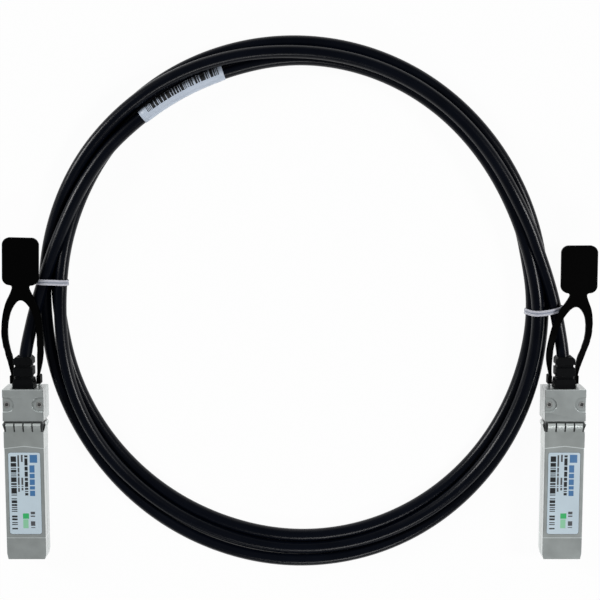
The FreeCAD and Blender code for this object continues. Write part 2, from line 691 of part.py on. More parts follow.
def make_release_slider(module):
    """Stamped slider: a forked tongue with wedges at the latch, a lug and two bent-up ears."""
    slider = Casting(module, "release_slider")
    half = "slider_width / 2"
    bar_end = f"({BAR_FRONT} + slider_bar_length)"
    right = [
        (PRONG_X, FORK_END), (PRONG_X, PRONG_TIP), (half, PRONG_TIP), (half, BAR_FRONT),
        (EAR_OUT, BAR_FRONT), (EAR_OUT, bar_end),
    ]
    left = [(f"-({x})", y) for x, y in reversed(right)]
    plan = slider.polygon(right + left, offset=SLIDER_UNDER)
    slider.pad(plan, "slider_thickness")
    ear_outline = [
        (BAR_FRONT, SLIDER_UNDER), (EAR_END, SLIDER_UNDER), (EAR_END, "ear_top"), (BAR_FRONT, "ear_top"),
    ]
    for sign in (1, -1):
        middle = f"{sign} * ({EAR_IN} + ear_thickness / 2)"
        ear = slider.polygon(ear_outline, "YZ_Plane", middle)
        slider.pad(ear, "ear_thickness", both_ways=True)
        wedge_end = f"{PRONG_TIP} + wedge_length"
        wedge = slider.polygon([
            (PRONG_TIP, f"{SLIDER_UNDER} + 0.1"), (PRONG_TIP, f"{SLIDER_UNDER} - wedge_drop"),
            (wedge_end, SLIDER_UNDER), (wedge_end, f"{SLIDER_UNDER} + 0.1"),
        ], "YZ_Plane", f"{sign} * ({PRONG_X} + {half}) / 2")
        slider.pad(wedge, f"{half} - {PRONG_X}", both_ways=True)
    lug = slider.rectangle("-lug_width / 2", "lug_width / 2", f"{SPRING_FRONT} - slider_thickness",
                           SPRING_FRONT, offset=f"{SLIDER_UNDER} - lug_drop")
    slider.pad(lug, "lug_drop + 0.1")
    return slider.body


def make_slider_spring(module):
    """Compression spring between the slider's lug and the rear of its pocket."""
    wire = value("spring_wire")
    radius = value("spring_diameter") / 2 - wire / 2
    turns = round(value("spring_turns"))
    start = value(SPRING_FRONT) + value("spring_seat_gap") + wire / 2
    length = value("spring_length") - wire - 2 * value("spring_seat_gap")
    per_turn, sides = 9, 4
    rings = []
    for step in range(turns * per_turn + 1):
        turn = 2 * math.pi * step / per_turn
        outward = Vector(math.cos(turn), 0, math.sin(turn))
        centre = outward * radius + Vector(0, start + length * step / (turns * per_turn),
                                           value("spring_height"))
        corners = []
        for side in range(sides):
            angle = 2 * math.pi * side / sides
            corners.append(centre + (outward * math.cos(angle) + Vector(0, math.sin(angle), 0)) * wire / 2)
        rings.append(Part.makePolygon(corners + corners[:1]))
    return shape_piece(f"{module}_slider_spring", Part.makeLoft(rings, True, True), f"{module}_x")


def upright_edges(shape):
    return [item for item in shape.Edges if abs(item.Vertexes[0].Z - item.Vertexes[-1].Z) > 0.1]


def spline_through(points):
    curve = Part.BSplineCurve()
    curve.interpolate(points)
    return curve.toShape()


def lean_curve(stations):
    """Sideways lean of a tab along its length, through a few stations."""
    def lean(y):
        total = 0.0
        for here, shift in stations:
            weight = 1.0
            for other, _ in stations:
                if other != here:
                    weight *= (y - other) / (here - other)
            total += shift * weight
        return total
    return lean


def tab_side(block_start, top):
    """Side view of the tab, swept across it: low beside the boot, then rising over the cable."""
    low = value("tab_low_under")
    high = value("tab_under")
    start = value("rear_face_y + tab_rise_start")
    length = value("tab_rise_length")
    rise = [(0.0, 0.0), (0.2, 0.08), (0.4, 0.3), (0.6, 0.66), (0.8, 0.92), (1.0, 1.0)]
    half = value("paddle_width")

    def slope(up):
        return [Vector(-half, start + share * length, low + part * (high - low) + up) for share, part in rise]

    lower = slope(0.0)
    upper = slope(value("tab_thickness"))
    corners = {}
    for name, y, z in (("low_start", block_start, lower[0].z), ("high_start", block_start, upper[0].z),
                       ("low_end", top, lower[-1].z), ("high_end", top, upper[-1].z)):
        corners[name] = Vector(-half, y, z)
    side = Part.Face(Part.Wire([
        Part.makeLine(corners["low_start"], lower[0]), spline_through(lower),
        Part.makeLine(lower[-1], corners["low_end"]), Part.makeLine(corners["low_end"], corners["high_end"]),
        Part.makeLine(corners["high_end"], upper[-1]), spline_through(upper[::-1]),
        Part.makeLine(upper[0], corners["high_start"]),
        Part.makeLine(corners["high_start"], corners["low_start"]),
    ]))
    return side.extrude(Vector(2 * half, 0, 0))


def make_pull_tab(module, stations):
    """Moulded tab: a paddle, a neck and a fork whose ends are moulded over the slider's ears."""
    lean = lean_curve(stations)
    tall = Vector(0, 0, value("tab_under + tab_thickness + 1"))
    rear = value("rear_face_y")
    top = rear + value(f"{module}_tab_length")
    paddle_low = top - value("paddle_length")
    half_paddle = value("paddle_width / 2")
    half_neck = value("neck_width / 2")
    half_spread = value("arm_spread / 2")
    arm = value("arm_width")
    ear_out = value(EAR_OUT) + value("arm_cover")
    ear_in = value(EAR_IN) - value("arm_cover")
    block_end = value(EAR_END) + value("arm_cover")
    block_start = block_end - value("arm_block_length")
    span = paddle_low - block_start

    def edge(share_and_half, sign):
        return [Vector(sign * half + lean(block_start + share * span), block_start + share * span, 0)
                for share, half in share_and_half]

    outer = [(0.0, ear_out - 1.0), (0.147, half_spread - 1.65), (0.265, half_spread - 0.75),
             (0.44, half_spread), (0.6, half_spread - 0.05), (0.77, half_spread - 1.1),
             (0.86, half_spread - 2.3), (0.95, half_neck + 0.35), (1.06, half_neck)]
    inner = [(0.0, ear_in + 0.1), (0.147, ear_in + 0.2), (0.265, half_spread - arm - 0.6),
             (0.44, half_spread - arm), (0.6, half_spread - arm - 0.1), (0.68, half_spread - arm - 0.6),
             (0.77, half_spread - arm - 1.75), (0.853, 0.0)]
    right_out = edge(outer, 1)
    left_out = edge(outer, -1)
    right_in = edge(inner, 1)
    window = right_in + edge(inner[:-1], -1)[::-1]
    fork = Part.Face(Part.Wire([
        spline_through(right_out), Part.makeLine(right_out[-1], left_out[-1]),
        spline_through(left_out[::-1]), Part.makeLine(left_out[0], window[-1]),
        spline_through(window[::-1]), Part.makeLine(window[0], right_out[0]),
    ])).extrude(tall)
    centre = (lean(top) + lean(paddle_low)) / 2
    turn = math.degrees(math.atan2(lean(top) - lean(paddle_low), top - paddle_low))
    paddle = block(Vector(-half_paddle, paddle_low, 0), Vector(half_paddle, top, tall.z))
    paddle = paddle.makeFillet(value("paddle_corner"), upright_edges(paddle))
    paddle.rotate(Vector(0, (paddle_low + top) / 2, 0), Vector(0, 0, 1), -turn)
    paddle.translate(Vector(centre, 0, 0))
    tab = fork.fuse(paddle).removeSplitter()
    corners = [item for item in upright_edges(tab)
               if abs(item.CenterOfMass.y - paddle_low) < 1 and abs(item.CenterOfMass.x - centre) < half_neck + 1]
    tab = tab.makeFillet(value("neck_fillet"), corners)
    tab = tab.common(tab_side(block_start, top + 5))
    for sign in (1, -1):
        low_x, high_x = sorted((sign * ear_in, sign * ear_out))
        hook = block(Vector(low_x, block_start, value("block_under")),
                     Vector(high_x, block_end, value("block_top")))
        tab = tab.fuse(hook)
    tab = tab.removeSplitter()
    for sign in (1, -1):
        low_x, high_x = sorted((sign * value(EAR_IN), sign * value(EAR_OUT)))
        ear = block(Vector(low_x, rear - 20, value(SLIDER_UNDER)),
                    Vector(high_x, value(EAR_END), value("ear_top")))
        tab = tab.cut(ear)
    return shape_piece(f"{module}_pull_tab", tab, f"{module}_x")


# The ring of cable: its section at stations round it, from three strands side by side on the floor
# to a heap of four. Each row: angle in degrees, shift outward, half widths at the foot, the middle
# and the top, and the height.
RING_STATIONS = [
    (0, -0.35, 3.0, 4.3, 2.0, 8.4),
    (28, -0.85, 2.3, 4.5, 2.0, 11.2),
    (60, -0.3, 2.2, 4.9, 2.2, 11.7),
    (90, -0.15, 2.2, 4.8, 2.2, 11.8),
    (120, 0.1, 3.0, 5.0, 2.6, 10.8),
    (150, 1.7, 3.4, 4.3, 3.3, 8.8),
    (180, 0.55, 3.8, 4.6, 2.8, 8.6),
    (213, -0.7, 3.4, 4.6, 2.2, 8.1),
    (240, -0.5, 4.9, 5.9, 4.0, 6.3),
    (270, -0.3, 5.6, 6.7, 5.4, 4.8),
    (315, -0.65, 4.8, 5.8, 3.0, 6.8),
    (343, -0.85, 3.4, 4.7, 2.2, 8.2),
    (360, -0.35, 3.0, 4.3, 2.0, 8.4),
]


def ring_section(turn):
    """Section corners (outward, up) at an angle, eased between two stations."""
    degrees = math.degrees(turn) % 360
    for before, after in zip(RING_STATIONS, RING_STATIONS[1:]):
        if before[0] <= degrees <= after[0]:
            share = (degrees - before[0]) / (after[0] - before[0])
            share = share * share * (3 - 2 * share)
            eased = [low + (high - low) * share for low, high in zip(before, after)]
    shift, foot, middle, top, height = eased[1:]
    low, high = 0.3 * height, 0.62 * height
    half = [(foot, 0.0), (middle, low), (middle, high), (top, height)]
    right = [(shift + outward, up) for outward, up in half]
    left = [(shift - outward, up) for outward, up in half[::-1]]
    return right + left


def ring_point(turn, outward, up):
    """A point at an angle round the ring, outward from its middle line."""
    centre = Vector(value("ring_x"), value("ring_y"), up)
    along = Vector(value("ring_half_x") * math.cos(turn), value("ring_half_y") * math.sin(turn), 0)
    normal = Vector(math.cos(turn) * value("ring_half_y"), math.sin(turn) * value("ring_half_x"), 0)
    return centre + along + normal.normalize() * outward


def ring_solid(grow=0.0, stations=40):
    """The outer shape of the wound cable, grown all round by a sheet's thickness."""
    wires = []
    for step in range(stations):
        turn = 2 * math.pi * step / stations
        section = ring_section(turn)
        middle_z = sum(up for _, up in section) / len(section)
        corners = []
        for outward, up in section:
            reach = math.hypot(outward, up - middle_z)
            out = outward * (reach + grow) / reach
            height = middle_z + (up - middle_z) * (reach + grow) / reach
            corners.append(ring_point(turn, out, height))
        wires.append(Part.makePolygon(corners + corners[:1]))
    return Part.makeLoft(wires + wires[:1], True, True)


def cord_tube(points, radius):
    """A tube along straight runs joined by tangent arcs, each as large as its runs allow."""
    edges = []
    start = points[0]
    radii = []
    length = 0.0
    for before, corner, after in zip(points, points[1:], points[2:]):
        back = (before - corner).normalize()
        ahead = (after - corner).normalize()
        half_turn = (math.pi - back.getAngle(ahead)) / 2
        reach = 0.45 * min((before - corner).Length, (after - corner).Length)
        bend = reach / math.tan(half_turn)
        enter = corner + back * reach
        leave = corner + ahead * reach
        bisector = (back + ahead).normalize()
        middle = corner + bisector * (bend / math.cos(half_turn) - bend)
        edges.append(Part.LineSegment(start, enter).toShape())
        edges.append(Part.Arc(enter, middle, leave).toShape())
        length += (enter - start).Length + bend * 2 * half_turn
        radii.append(bend)
        start = leave
    edges.append(Part.LineSegment(start, points[-1]).toShape())
    length += (points[-1] - start).Length
    section = Part.Wire([Part.Circle(points[0], points[1] - points[0], radius).toShape()])
    tube = Part.Wire(edges).makePipeShell([section], True, True)
    exact = math.pi * radius ** 2 * length
    print("cord bends", [round(bend, 1) for bend in radii], "length", round(length, 2),
          "volume share", round(tube.Volume / exact, 4))
    return tube


# Routes of the two cable ends, from inside the boot to the ring, chosen by hand (X, Y, Z)
LEFT_ROUTE = [
    (-94.4, 4.5, 6.5), (-94.4, 13.5, 6.5), (-92.05, 24.3, 6.1), (-89.35, 34.0, 6.4),
    (-85.95, 44.2, 6.9), (-82.3, 54.2, 7.1),
]
RIGHT_ROUTE = [
    (92.3, 4.5, 6.5), (92.15, 13.5, 6.5), (90.45, 23.8, 6.1), (88.4, 33.6, 6.2),
    (85.35, 43.4, 6.9), (81.75, 52.8, 7.8),
]


def largest(shape):
    """The largest solid of a shape; a cut may leave slivers beside it."""
    return sorted(shape.Solids, key=lambda item: item.Volume)[-1]


def make_tie(side, tie_y, ring, route, tail):
    """A twist tie bent tightly round the ring and the tail beside it, flat under the ring."""
    thickness = value("tie_thickness")
    half = value("tie_width") / 2
    outer_x = value("ring_x") + side * (value("ring_half_x") + 16)
    inner_x = value("ring_x") + side * (value("ring_half_x") - 10)
    span = block(Vector(min(inner_x, outer_x), tie_y - half, 0),
                 Vector(max(inner_x, outer_x), tie_y + half, 20))
    covered = ring_solid(thickness).fuse(cord_tube(route[1:], value("cable_diameter") / 2 + thickness))
    band = covered.common(span).cut(ring).cut(tail)
    low_span = block(span.BoundBox.getPoint(0), span.BoundBox.getPoint(2) + Vector(0, 0, thickness))
    tie = band.fuse(ring.common(low_span)).removeSplitter()
    return largest(tie)


def make_cable_label(ring):
    """The printed sleeve, as far as it shows on the inner upper side of the ring."""
    reach = value("sleeve_length / ring_half_y")
    turns = [math.radians(118.5) + reach * (step / 9 - 0.5) for step in range(10)]
    outline = [ring_point(turn, 0.3, 2.6) for turn in turns]
    outline += [ring_point(turn, -9.0, 2.6) for turn in turns[::-1]]
    limit = Part.Face(Part.makePolygon(outline + outline[:1])).extrude(Vector(0, 0, 30))
    skin = ring_solid(value("sleeve_thickness")).common(limit).cut(ring)
    return largest(skin)


def make_cord():
    """The ring, the two ends that leave it, the ties round it and the sleeve on it."""
    radius = value("cable_diameter") / 2
    ring = ring_solid()
    shape_piece("cable_label", make_cable_label(ring))
    for name, side, tie_y, corners in (("left", -1, 40.2, LEFT_ROUTE), ("right", 1, 33.0, RIGHT_ROUTE)):
        route = [Vector(*corner) for corner in corners]
        tail = largest(cord_tube(route, radius).cut(ring))
        tie = make_tie(side, tie_y, ring, route, tail)
        ring = ring.cut(tie)
        shape_piece(f"{name}_tie", tie)
        shape_piece(f"{name}_tail", tail)
    shape_piece("cable_coil", ring)


MODULES = (
    ("left", [(6.0, 0.1), (16.0, 0.35), (38.8, 0.12), (56.2, 0.5)]),
    ("right", [(6.0, 0.0), (16.0, 0.3), (27.0, 2.0), (53.6, 3.6)]),
)
for module, stations in MODULES:
    make_bottom_shell(module)
    make_top_shell(module)
    make_shield_collar(module)
    make_label(module)
    make_circuit_board(module)
    make_contact_pads(module)
    make_memory_chip(module)
    make_cable_anchor(module)
    make_boot(module)
    make_screws(module)
    make_release_slider(module)
    make_slider_spring(module)
    make_pull_tab(module, stations)
make_cord()
doc.recompute()

failed = [item.Name for item in doc.Objects if "Invalid" in item.State or "Error" in item.State]
if failed:
    raise RuntimeError(f"features that failed: {failed}")

for item in doc.Objects:
    if not hasattr(item, "Shape") or item.getParentGeoFeatureGroup():
        continue
    shape = item.Shape
    if shape.isNull() or not shape.isValid() or not shape.Solids:
        raise RuntimeError(f"{item.Label} has no valid solid")
    print(item.Label, len(shape.Solids), round(shape.Volume, 2))
    shape.exportStep(f"parts/{item.Label}.step")
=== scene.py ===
import math

import bmesh
import bpy
from bpy.props import FloatProperty, FloatVectorProperty, PointerProperty
from mathutils import Matrix, Vector


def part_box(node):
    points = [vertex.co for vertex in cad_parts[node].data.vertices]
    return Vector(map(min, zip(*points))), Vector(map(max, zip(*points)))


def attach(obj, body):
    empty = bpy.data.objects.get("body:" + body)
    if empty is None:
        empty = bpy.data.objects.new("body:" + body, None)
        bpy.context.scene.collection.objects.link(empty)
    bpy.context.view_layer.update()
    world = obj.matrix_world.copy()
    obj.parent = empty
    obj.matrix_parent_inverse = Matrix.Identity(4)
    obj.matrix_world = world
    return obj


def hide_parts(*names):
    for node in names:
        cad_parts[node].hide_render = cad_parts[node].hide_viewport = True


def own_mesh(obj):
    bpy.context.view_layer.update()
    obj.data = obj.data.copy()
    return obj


bl_info = {
    "name": "Direct attach copper cable",
    "version": (1, 0, 0),
    "blender": (4, 5, 0),
    "location": "View3D > Sidebar > Cable",
    "description": "Dresses the two plug modules, the wound cable, its ties and its sleeve",
    "category": "Object",
}

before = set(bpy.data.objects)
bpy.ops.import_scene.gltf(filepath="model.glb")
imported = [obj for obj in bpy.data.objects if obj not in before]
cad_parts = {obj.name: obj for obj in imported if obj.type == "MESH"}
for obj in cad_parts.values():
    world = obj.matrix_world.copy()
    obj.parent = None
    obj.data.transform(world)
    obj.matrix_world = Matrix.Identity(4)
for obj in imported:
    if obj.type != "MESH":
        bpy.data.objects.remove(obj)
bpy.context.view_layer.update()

# The values down to the label print are in mm and degrees, unless their comment says otherwise.
MM = 0.001
ROOT = "cable_and_modules"

# The middle of each plug module along X, and how far its tab and slider slide
MODULES = {"left": -94.4, "right": 92.3}

# Routes of the two cable ends, from inside the boot to the ring (X, Y, Z)
LEFT_ROUTE = [
    (-94.4, 4.5, 6.5), (-94.4, 13.5, 6.5), (-92.05, 24.3, 6.1), (-89.35, 34.0, 6.4),
    (-85.95, 44.2, 6.9), (-82.3, 54.2, 7.1),
]
RIGHT_ROUTE = [
    (92.3, 4.5, 6.5), (92.15, 13.5, 6.5), (90.45, 23.8, 6.1), (88.4, 33.6, 6.2),
    (85.35, 43.4, 6.9), (81.75, 52.8, 7.8),
]

# The ring: its middle line, and how the strand wanders beside and over it. Each row of the winding
# is the angle wound clockwise from the leftmost point, the outward shift and the height.
RING_CENTRE = (0.0, 32.2)
RING_HALF = (83.4, 86.8)
WINDING = [
    (24, 0.3, 7.0), (30, -0.2, 6.6), (38, -0.65, 6.4), (45, -1.6, 6.4), (60, -2.7, 6.0),
    (75, -3.1, 5.8), (90, -2.5, 5.75), (120, -2.6, 5.5), (152, -3.0, 5.4), (168, -2.1, 5.8),
    (180, -0.5, 6.2), (197, 0.2, 6.0), (225, 0.8, 4.6), (270, -0.1, 2.5), (290, -0.95, 3.5),
    (300, -0.95, 4.1), (310, -0.8, 4.7), (327, -0.2, 5.9), (345, -0.7, 6.3), (351, -1.3, 6.4),
    (358, -1.75, 6.5), (366, -1.9, 6.2), (375, -1.3, 5.0), (385, -1.0, 3.8), (392, -0.65, 2.9),
    (405, -0.4, 2.3), (420, -0.35, 2.4), (435, -0.3, 2.3), (450, -0.2, 2.2), (480, -0.4, 2.2),
    (512, -1.3, 2.2), (528, -2.5, 2.2), (540, -1.8, 2.2), (557, -2.0, 2.2), (585, -2.7, 2.2),
    (630, -4.5, 2.2), (650, -5.0, 2.2), (670, -4.3, 2.2), (687, -3.2, 2.2), (705, -1.9, 2.2),
    (714, -1.4, 2.2), (720, -0.75, 2.2), (724, -0.1, 2.2), (730, 0.6, 2.2), (738, 1.8, 2.2),
    (750, 3.2, 2.2), (765, 3.8, 2.3), (780, 3.9, 3.2), (795, 3.5, 4.6), (810, 3.1, 5.6),
    (840, 2.6, 5.3), (872, 2.0, 4.4), (888, 2.0, 3.0), (900, 1.7, 2.2), (917, 2.7, 2.2),
    (945, 4.3, 2.2), (965, 4.8, 2.2), (990, 4.45, 2.2), (1010, 3.9, 2.2), (1030, 3.6, 2.2),
    (1047, 3.5, 2.2), (1065, 3.8, 2.2), (1080, 4.0, 2.2), (1095, 4.7, 3.2), (1110, 4.7, 5.5),
    (1118, 4.4, 6.3), (1125, 3.9, 7.1), (1140, 2.7, 8.7), (1155, 0.9, 9.4), (1170, -0.4, 9.6),
    (1200, -0.7, 9.5), (1232, -1.1, 9.2), (1242, 0.15, 8.2),
]

# Steps along the laid winding, and sides of the sleeve's tube
RING_STEPS, TUBE_SIDES = 164, 28

# The strands lie higher near the ties: where round the ring, by how much, and over what angle
TIE_TURNS = (6.0, 179.5)
TIE_LIFT, TIE_SPREAD = 0.75, 8.0

# Ties: side of the ring (-1 is left), Y, sag of the middle against the ends, and tilt. A tie that sags
# lies at its own Y where the square of the distance from its middle, as a share, is TIE_LEVEL.
TIES = {"left": (-1, 40.8, 0.0, -0.2), "right": (1, 30.7, 0.65, 0.75)}
TIE_LEVEL = 0.6

# A tie's band: its gap over the strands, the sides of its bends and the steps along it, and the angles
# under which its faces are joined and its edges shaded smooth. Across it, as shares of half its width:
# where it is cut, between what shares a wire stands out, where the groove is.
TIE_GAP, TIE_SIDES, TIE_STEPS = 0.02, 40, 12
TIE_FLAT, TIE_SMOOTH = 0.5, 50.0
TIE_CUTS = (-0.84, -0.66, -0.5, -0.32, 0.32, 0.5, 0.66, 0.84)
TIE_WIRE = (0.45, 0.7)
# The groove is painted darker, as shade between the wires.
TIE_GROOVE = (0.1, 0.4)

# The sleeve: the angles wound at its two ends, and its lips, which are this share of the wall high
# and of a step long and close at this share of the cable's radius
SLEEVE_TURNS = (50.3, 72.6)
LIP_WALL, LIP_STEP, LIP_CLOSE = 0.6, 0.05, 0.98

# Its row of bars: margins before and after it, share of a turn that it reaches round the cable,
# pitch of the bars and the share that they cover
SLEEVE_MARGINS = (3.0, 1.5)
SLEEVE_REACH, SLEEVE_PITCH, SLEEVE_COVER = 0.262, 0.25, 0.63

# Painted highlight lines on the metal, and half their widths: the peak of a shell's collar seat stands
# so far behind the collar's front and falls so steeply to the sides, a collar's lip lies so far before
# its rear, and the nose ends so far behind the shell's front.
SEAT_PEAK, SEAT_SLOPE, SEAT_LINE = 0.7, 0.115, 0.18
LIP_BACK, LIP_LINE = 0.5, 0.3
NOSE_STEP, STEP_LINE = 7.75, 0.15

# Welding of a node's loose triangles: reach of a weld, length of a sliver, and angle between faces
# that are joined
WELD, SLIVER, FLAT_ANGLE = 0.002, 0.001, 0.6

# Rounding: edges sharper than the angle are rounded where they are at least so many widths long and
# both faces are so many widths wide. Each pass is a share of the width. Edges under the last angle
# are shaded smooth.
SHARP_ANGLE, LEAST_LENGTH, LEAST_ROOM = 30.0, 3.0, 2.4
ROUNDING_PASSES = (1.0, 0.5)
SMOOTH_ANGLE = 38.0

# Values of the attribute rim, which paints light and shade (a painted highlight, half of one, none,
# painted shade, painted shadow in a seat), the height under which a wall is low, the share of a face's
# normal along an axis past which it leans that way or is a side wall, and the room that is added round a
# seat and over a label
PAINTED_HIGHLIGHT, HALF_HIGHLIGHT, PLAIN, PAINTED_SHADE, SEAT_SHADOW = 1.0, 0.4, 0.0, -0.55, -1.0
LOW_WALL, LEANING, SIDE_WALL = 0.6, 0.3, 0.95
SEAT_ROOM, LABEL_ROOM = 0.3, -0.05

# The socket of a screw: its reach from the screw's axis, and its depth under the rim
SOCKET_REACH, SOCKET_DEPTH = 0.66, 0.05

# The camera: place in metres, tilt from straight down, and lens
CAMERA_PLACE = (0.00095, 0.0942, 0.479)
CAMERA_TILT, CAMERA_LENS = -7.2, 83.16

# Soft lights: name, place and size in metres, and the level with the share of it that they give
LIGHT_TARGET = (0.0, 0.03, 0.0)
LIGHTS = (
    ("key", (-1.1, 0.5, 0.6), (0.25, 0.5), "key", 1.0),
    ("fill_right", (1.0, 0.1, 0.9), (0.3, 0.3), "fill", 1.0),
    ("fill_front", (0.2, -1.1, 0.9), (0.5, 0.3), "fill", 0.6),
)

# Between these heights (sines of the angle over the horizon) the world fades to its overhead level
WORLD_FADE = (0.12, 0.6)

# Print on a module label, without words: ink, from and to along Y, low and high across from the
# module's middle, the pitch of its bars and the share that they cover (1 is a plain field)
LABEL_PRINT = [
    ("ink_dark", -45.4, -18.9, -4.7, -2.8, 0.34, 0.62),
    ("ink_grey", -32.0, -18.9, -2.35, -1.75, 0.34, 0.78),
    ("ink_grey", -21.4, -18.9, -1.15, -0.5, 0.34, 0.8),
    ("ink_grey", -31.5, -27.0, -1.15, -0.5, 0.34, 0.8),
    ("ink_dark", -33.3, -18.9, 0.05, 1.15, 0.36, 0.68),
    ("ink_blue", -33.5, -22.6, 1.75, 3.5, 0.4, 0.68),
    ("ink_blue", -21.7, -18.9, 1.9, 4.5, 1.0, 1.0),
    ("ink_grey", -41.2, -38.9, 1.8, 3.3, 0.46, 0.62),
    ("ink_grey", -44.9, -42.5, 1.8, 3.3, 0.46, 0.62),
    ("ink_green", -41.6, -39.7, -0.9, 1.2, 1.0, 1.0),
    ("ink_pale_green", -45.0, -41.8, -0.85, 0.95, 1.0, 1.0),
]


def length(name, text, default):
    return FloatProperty(name=name, description=text, default=default, unit="LENGTH",
                         subtype="DISTANCE", precision=5)


def colour(name, text, default):
    return FloatVectorProperty(name=name, description=text, default=default, size=3, min=0.0,
                               max=1.0, subtype="COLOR")


def level(name, text, default, unit="NONE"):
    return FloatProperty(name=name, description=text, default=default, unit=unit)


class CableSizes(bpy.types.PropertyGroup):
    """Sizes of what is modelled here, in metres."""

    cable_diameter: length("Cable diameter", "Outside of the round jacket", 0.0044)
    cable_length: length("Cable length", "Real length from boot to boot", 1.94)
    sleeve_wall: length("Sleeve wall", "Thickness of the printed sleeve", 0.0003)
    tie_width: length("Tie width", "Width of the twist ties", 0.0019)
    tie_thickness: length("Tie thickness", "Thickness of the twist ties", 0.0004)
    tie_rib: length("Tie rib", "How far the wire stands out along a tie", 0.00016)
    cast_edge: length("Cast edge", "Rounding of the die-cast shells", 0.00016)
    sheet_edge: length("Sheet edge", "Rounding of stamped sheet", 0.00004)
    tab_edge: length("Tab edge", "Rounding of the moulded pull tabs", 0.00045)
    boot_edge: length("Boot edge", "Rounding of the strain relief", 0.0002)
    screw_edge: length("Screw edge", "Rounding of the screw heads", 0.0001)
    label_edge: length("Label edge", "Rounding of the label stock", 0.00003)


class CableColours(bpy.types.PropertyGroup):
    """Colours of the surfaces."""

    cast: colour("Die-cast zinc", "Plated shells", (0.47, 0.51, 0.505))
    sheet: colour("Spring sheet", "Shield collar and slider", (0.485, 0.525, 0.515))
    jacket: colour("Cable jacket", "Black jacket", (0.0016, 0.0026, 0.0058))
    boot: colour("Boot", "Moulded strain relief", (0.002, 0.0024, 0.003))
    tab: colour("Pull tab", "Moulded tab", (0.0002, 0.0002, 0.0002))
    tie: colour("Tie", "Twist ties", (0.6, 0.61, 0.68))
    # Painted shade: the groove between a tie's two wires is given this darker colour.
    groove: colour("Tie groove", "Between the two wires of a tie", (0.26, 0.29, 0.36))
    sleeve: colour("Sleeve", "Printed sleeve", (0.6, 0.68, 0.8))
    label_ground: colour("Label", "Ground of the module labels", (0.6, 0.72, 0.8))
    ink_dark: colour("Dark ink", "Bars on labels and sleeve", (0.02, 0.022, 0.025))
    ink_grey: colour("Grey ink", "Fine bars on the labels", (0.09, 0.095, 0.105))
    ink_blue: colour("Blue ink", "Plain fields on the labels", (0.07, 0.2, 0.42))
    ink_green: colour("Green ink", "Plain fields on the labels", (0.05, 0.5, 0.16))
    ink_pale_green: colour("Pale green ink", "Plain fields on the labels", (0.3, 0.66, 0.42))
    screw: colour("Screw", "Plated screw heads", (0.42, 0.43, 0.42))
    # Painted shade: the dark colour of the screw sockets stands for the shade inside them.
    socket: colour("Socket", "Dark sockets of the screws", (0.1, 0.1, 0.1))
    board: colour("Board", "Circuit board", (0.02, 0.16, 0.06))
    gold: colour("Gold", "Contact pads", (0.9, 0.62, 0.22))
    chip: colour("Chip", "Moulded resin", (0.012, 0.012, 0.013))
    foil: colour("Foil", "Braid and foil of the cable", (0.62, 0.63, 0.64))
    floor: colour("Floor", "Pale studio floor", (0.9, 0.9, 0.9))


class StudioLevels(bpy.types.PropertyGroup):
    """Levels of the studio."""

    key: level("Key", "Power of the key light", 9.0, unit="POWER")
    fill: level("Fill", "Power of the fill lights", 8.0, unit="POWER")
    horizon: level("Horizon", "Level of the world at the horizon", 0.35)
    overhead: level("Overhead", "Level of the world overhead", 0.1)
    floor: level("Floor glow", "White share of the floor to the eye", 0.96)


def sizes():
    return bpy.context.scene.cable_sizes


def colours():
    return bpy.context.scene.cable_colours


def levels():
    return bpy.context.scene.studio_levels


# Materials

class Finish:
    """A material with its shader, and short ways to add and link nodes."""

    def __init__(self, name):
        self.material = bpy.data.materials.new(name)
        self.material.use_nodes = True
        self.tree = self.material.node_tree
        self.shader = self.tree.nodes["Principled BSDF"]

    def add(self, kind, inputs=None, **settings):
        node = self.tree.nodes.new(kind)
        for name, setting in settings.items():
            setattr(node, name, setting)
        for name, value in (inputs or {}).items():
            self.feed(node.inputs[name], value)
        return node

    def feed(self, socket, value):
        """Link a socket to another, or set it to a constant."""
        if isinstance(value, bpy.types.NodeSocket):
            self.tree.links.new(value, socket)
        elif socket.type == "RGBA" and len(value) == 3:
            socket.default_value = (*value, 1.0)
        else:
            socket.default_value = value

    def group(self, tree, **inputs):
        node = self.add("ShaderNodeGroup", node_tree=tree)
        for name, value in inputs.items():
            self.feed(node.inputs[name.replace("_", " ").title()], value)
        return node

    def coordinates(self):
        return self.add("ShaderNodeTexCoord").outputs["Object"]

    def attribute(self, name):
        return self.add("ShaderNodeAttribute", attribute_name=name).outputs["Fac"]

    def surface(self, **inputs):
        for name, value in inputs.items():
            self.feed(self.shader.inputs[name.replace("_", " ").title().replace("Ior", "IOR")], value)

    def mix(self, share, first, second):
        node = self.add("ShaderNodeMix", data_type="RGBA")
        for place, value in ((0, share), (6, first), (7, second)):
            self.feed(node.inputs[place], value)
        return node.outputs[2]

    def maths(self, operation, *values):
        node = self.add("ShaderNodeMath", dict(enumerate(values)), operation=operation)
        return node.outputs[0]

    def skin(self, cloud, grain):
        """Tone and Grain of the shared surface, at two scales."""
        node = self.group(surface_grain(), coordinates=self.coordinates(), cloud_scale=cloud,
                          grain_scale=grain)
        return node.outputs

    def between(self, value, low, high):
        """Map a 0 to 1 value onto a range."""
        node = self.add("ShaderNodeMapRange", {"Value": value, "To Min": low, "To Max": high})
        return node.outputs["Result"]

    def bump(self, height, distance, strength):
        node = self.add("ShaderNodeBump", {"Height": height, "Distance": distance, "Strength": strength})
        self.feed(self.shader.inputs["Normal"], node.outputs["Normal"])


def new_group(name, inputs, outputs):
    """A shader node group with named sockets, and its input and output nodes."""
    tree = bpy.data.node_groups.new(name, "ShaderNodeTree")
    for socket, kind in inputs:
        tree.interface.new_socket(socket, in_out="INPUT", socket_type=f"NodeSocket{kind}")
    for socket, kind in outputs:
        tree.interface.new_socket(socket, in_out="OUTPUT", socket_type=f"NodeSocket{kind}")
    return tree, tree.nodes.new("NodeGroupInput"), tree.nodes.new("NodeGroupOutput")


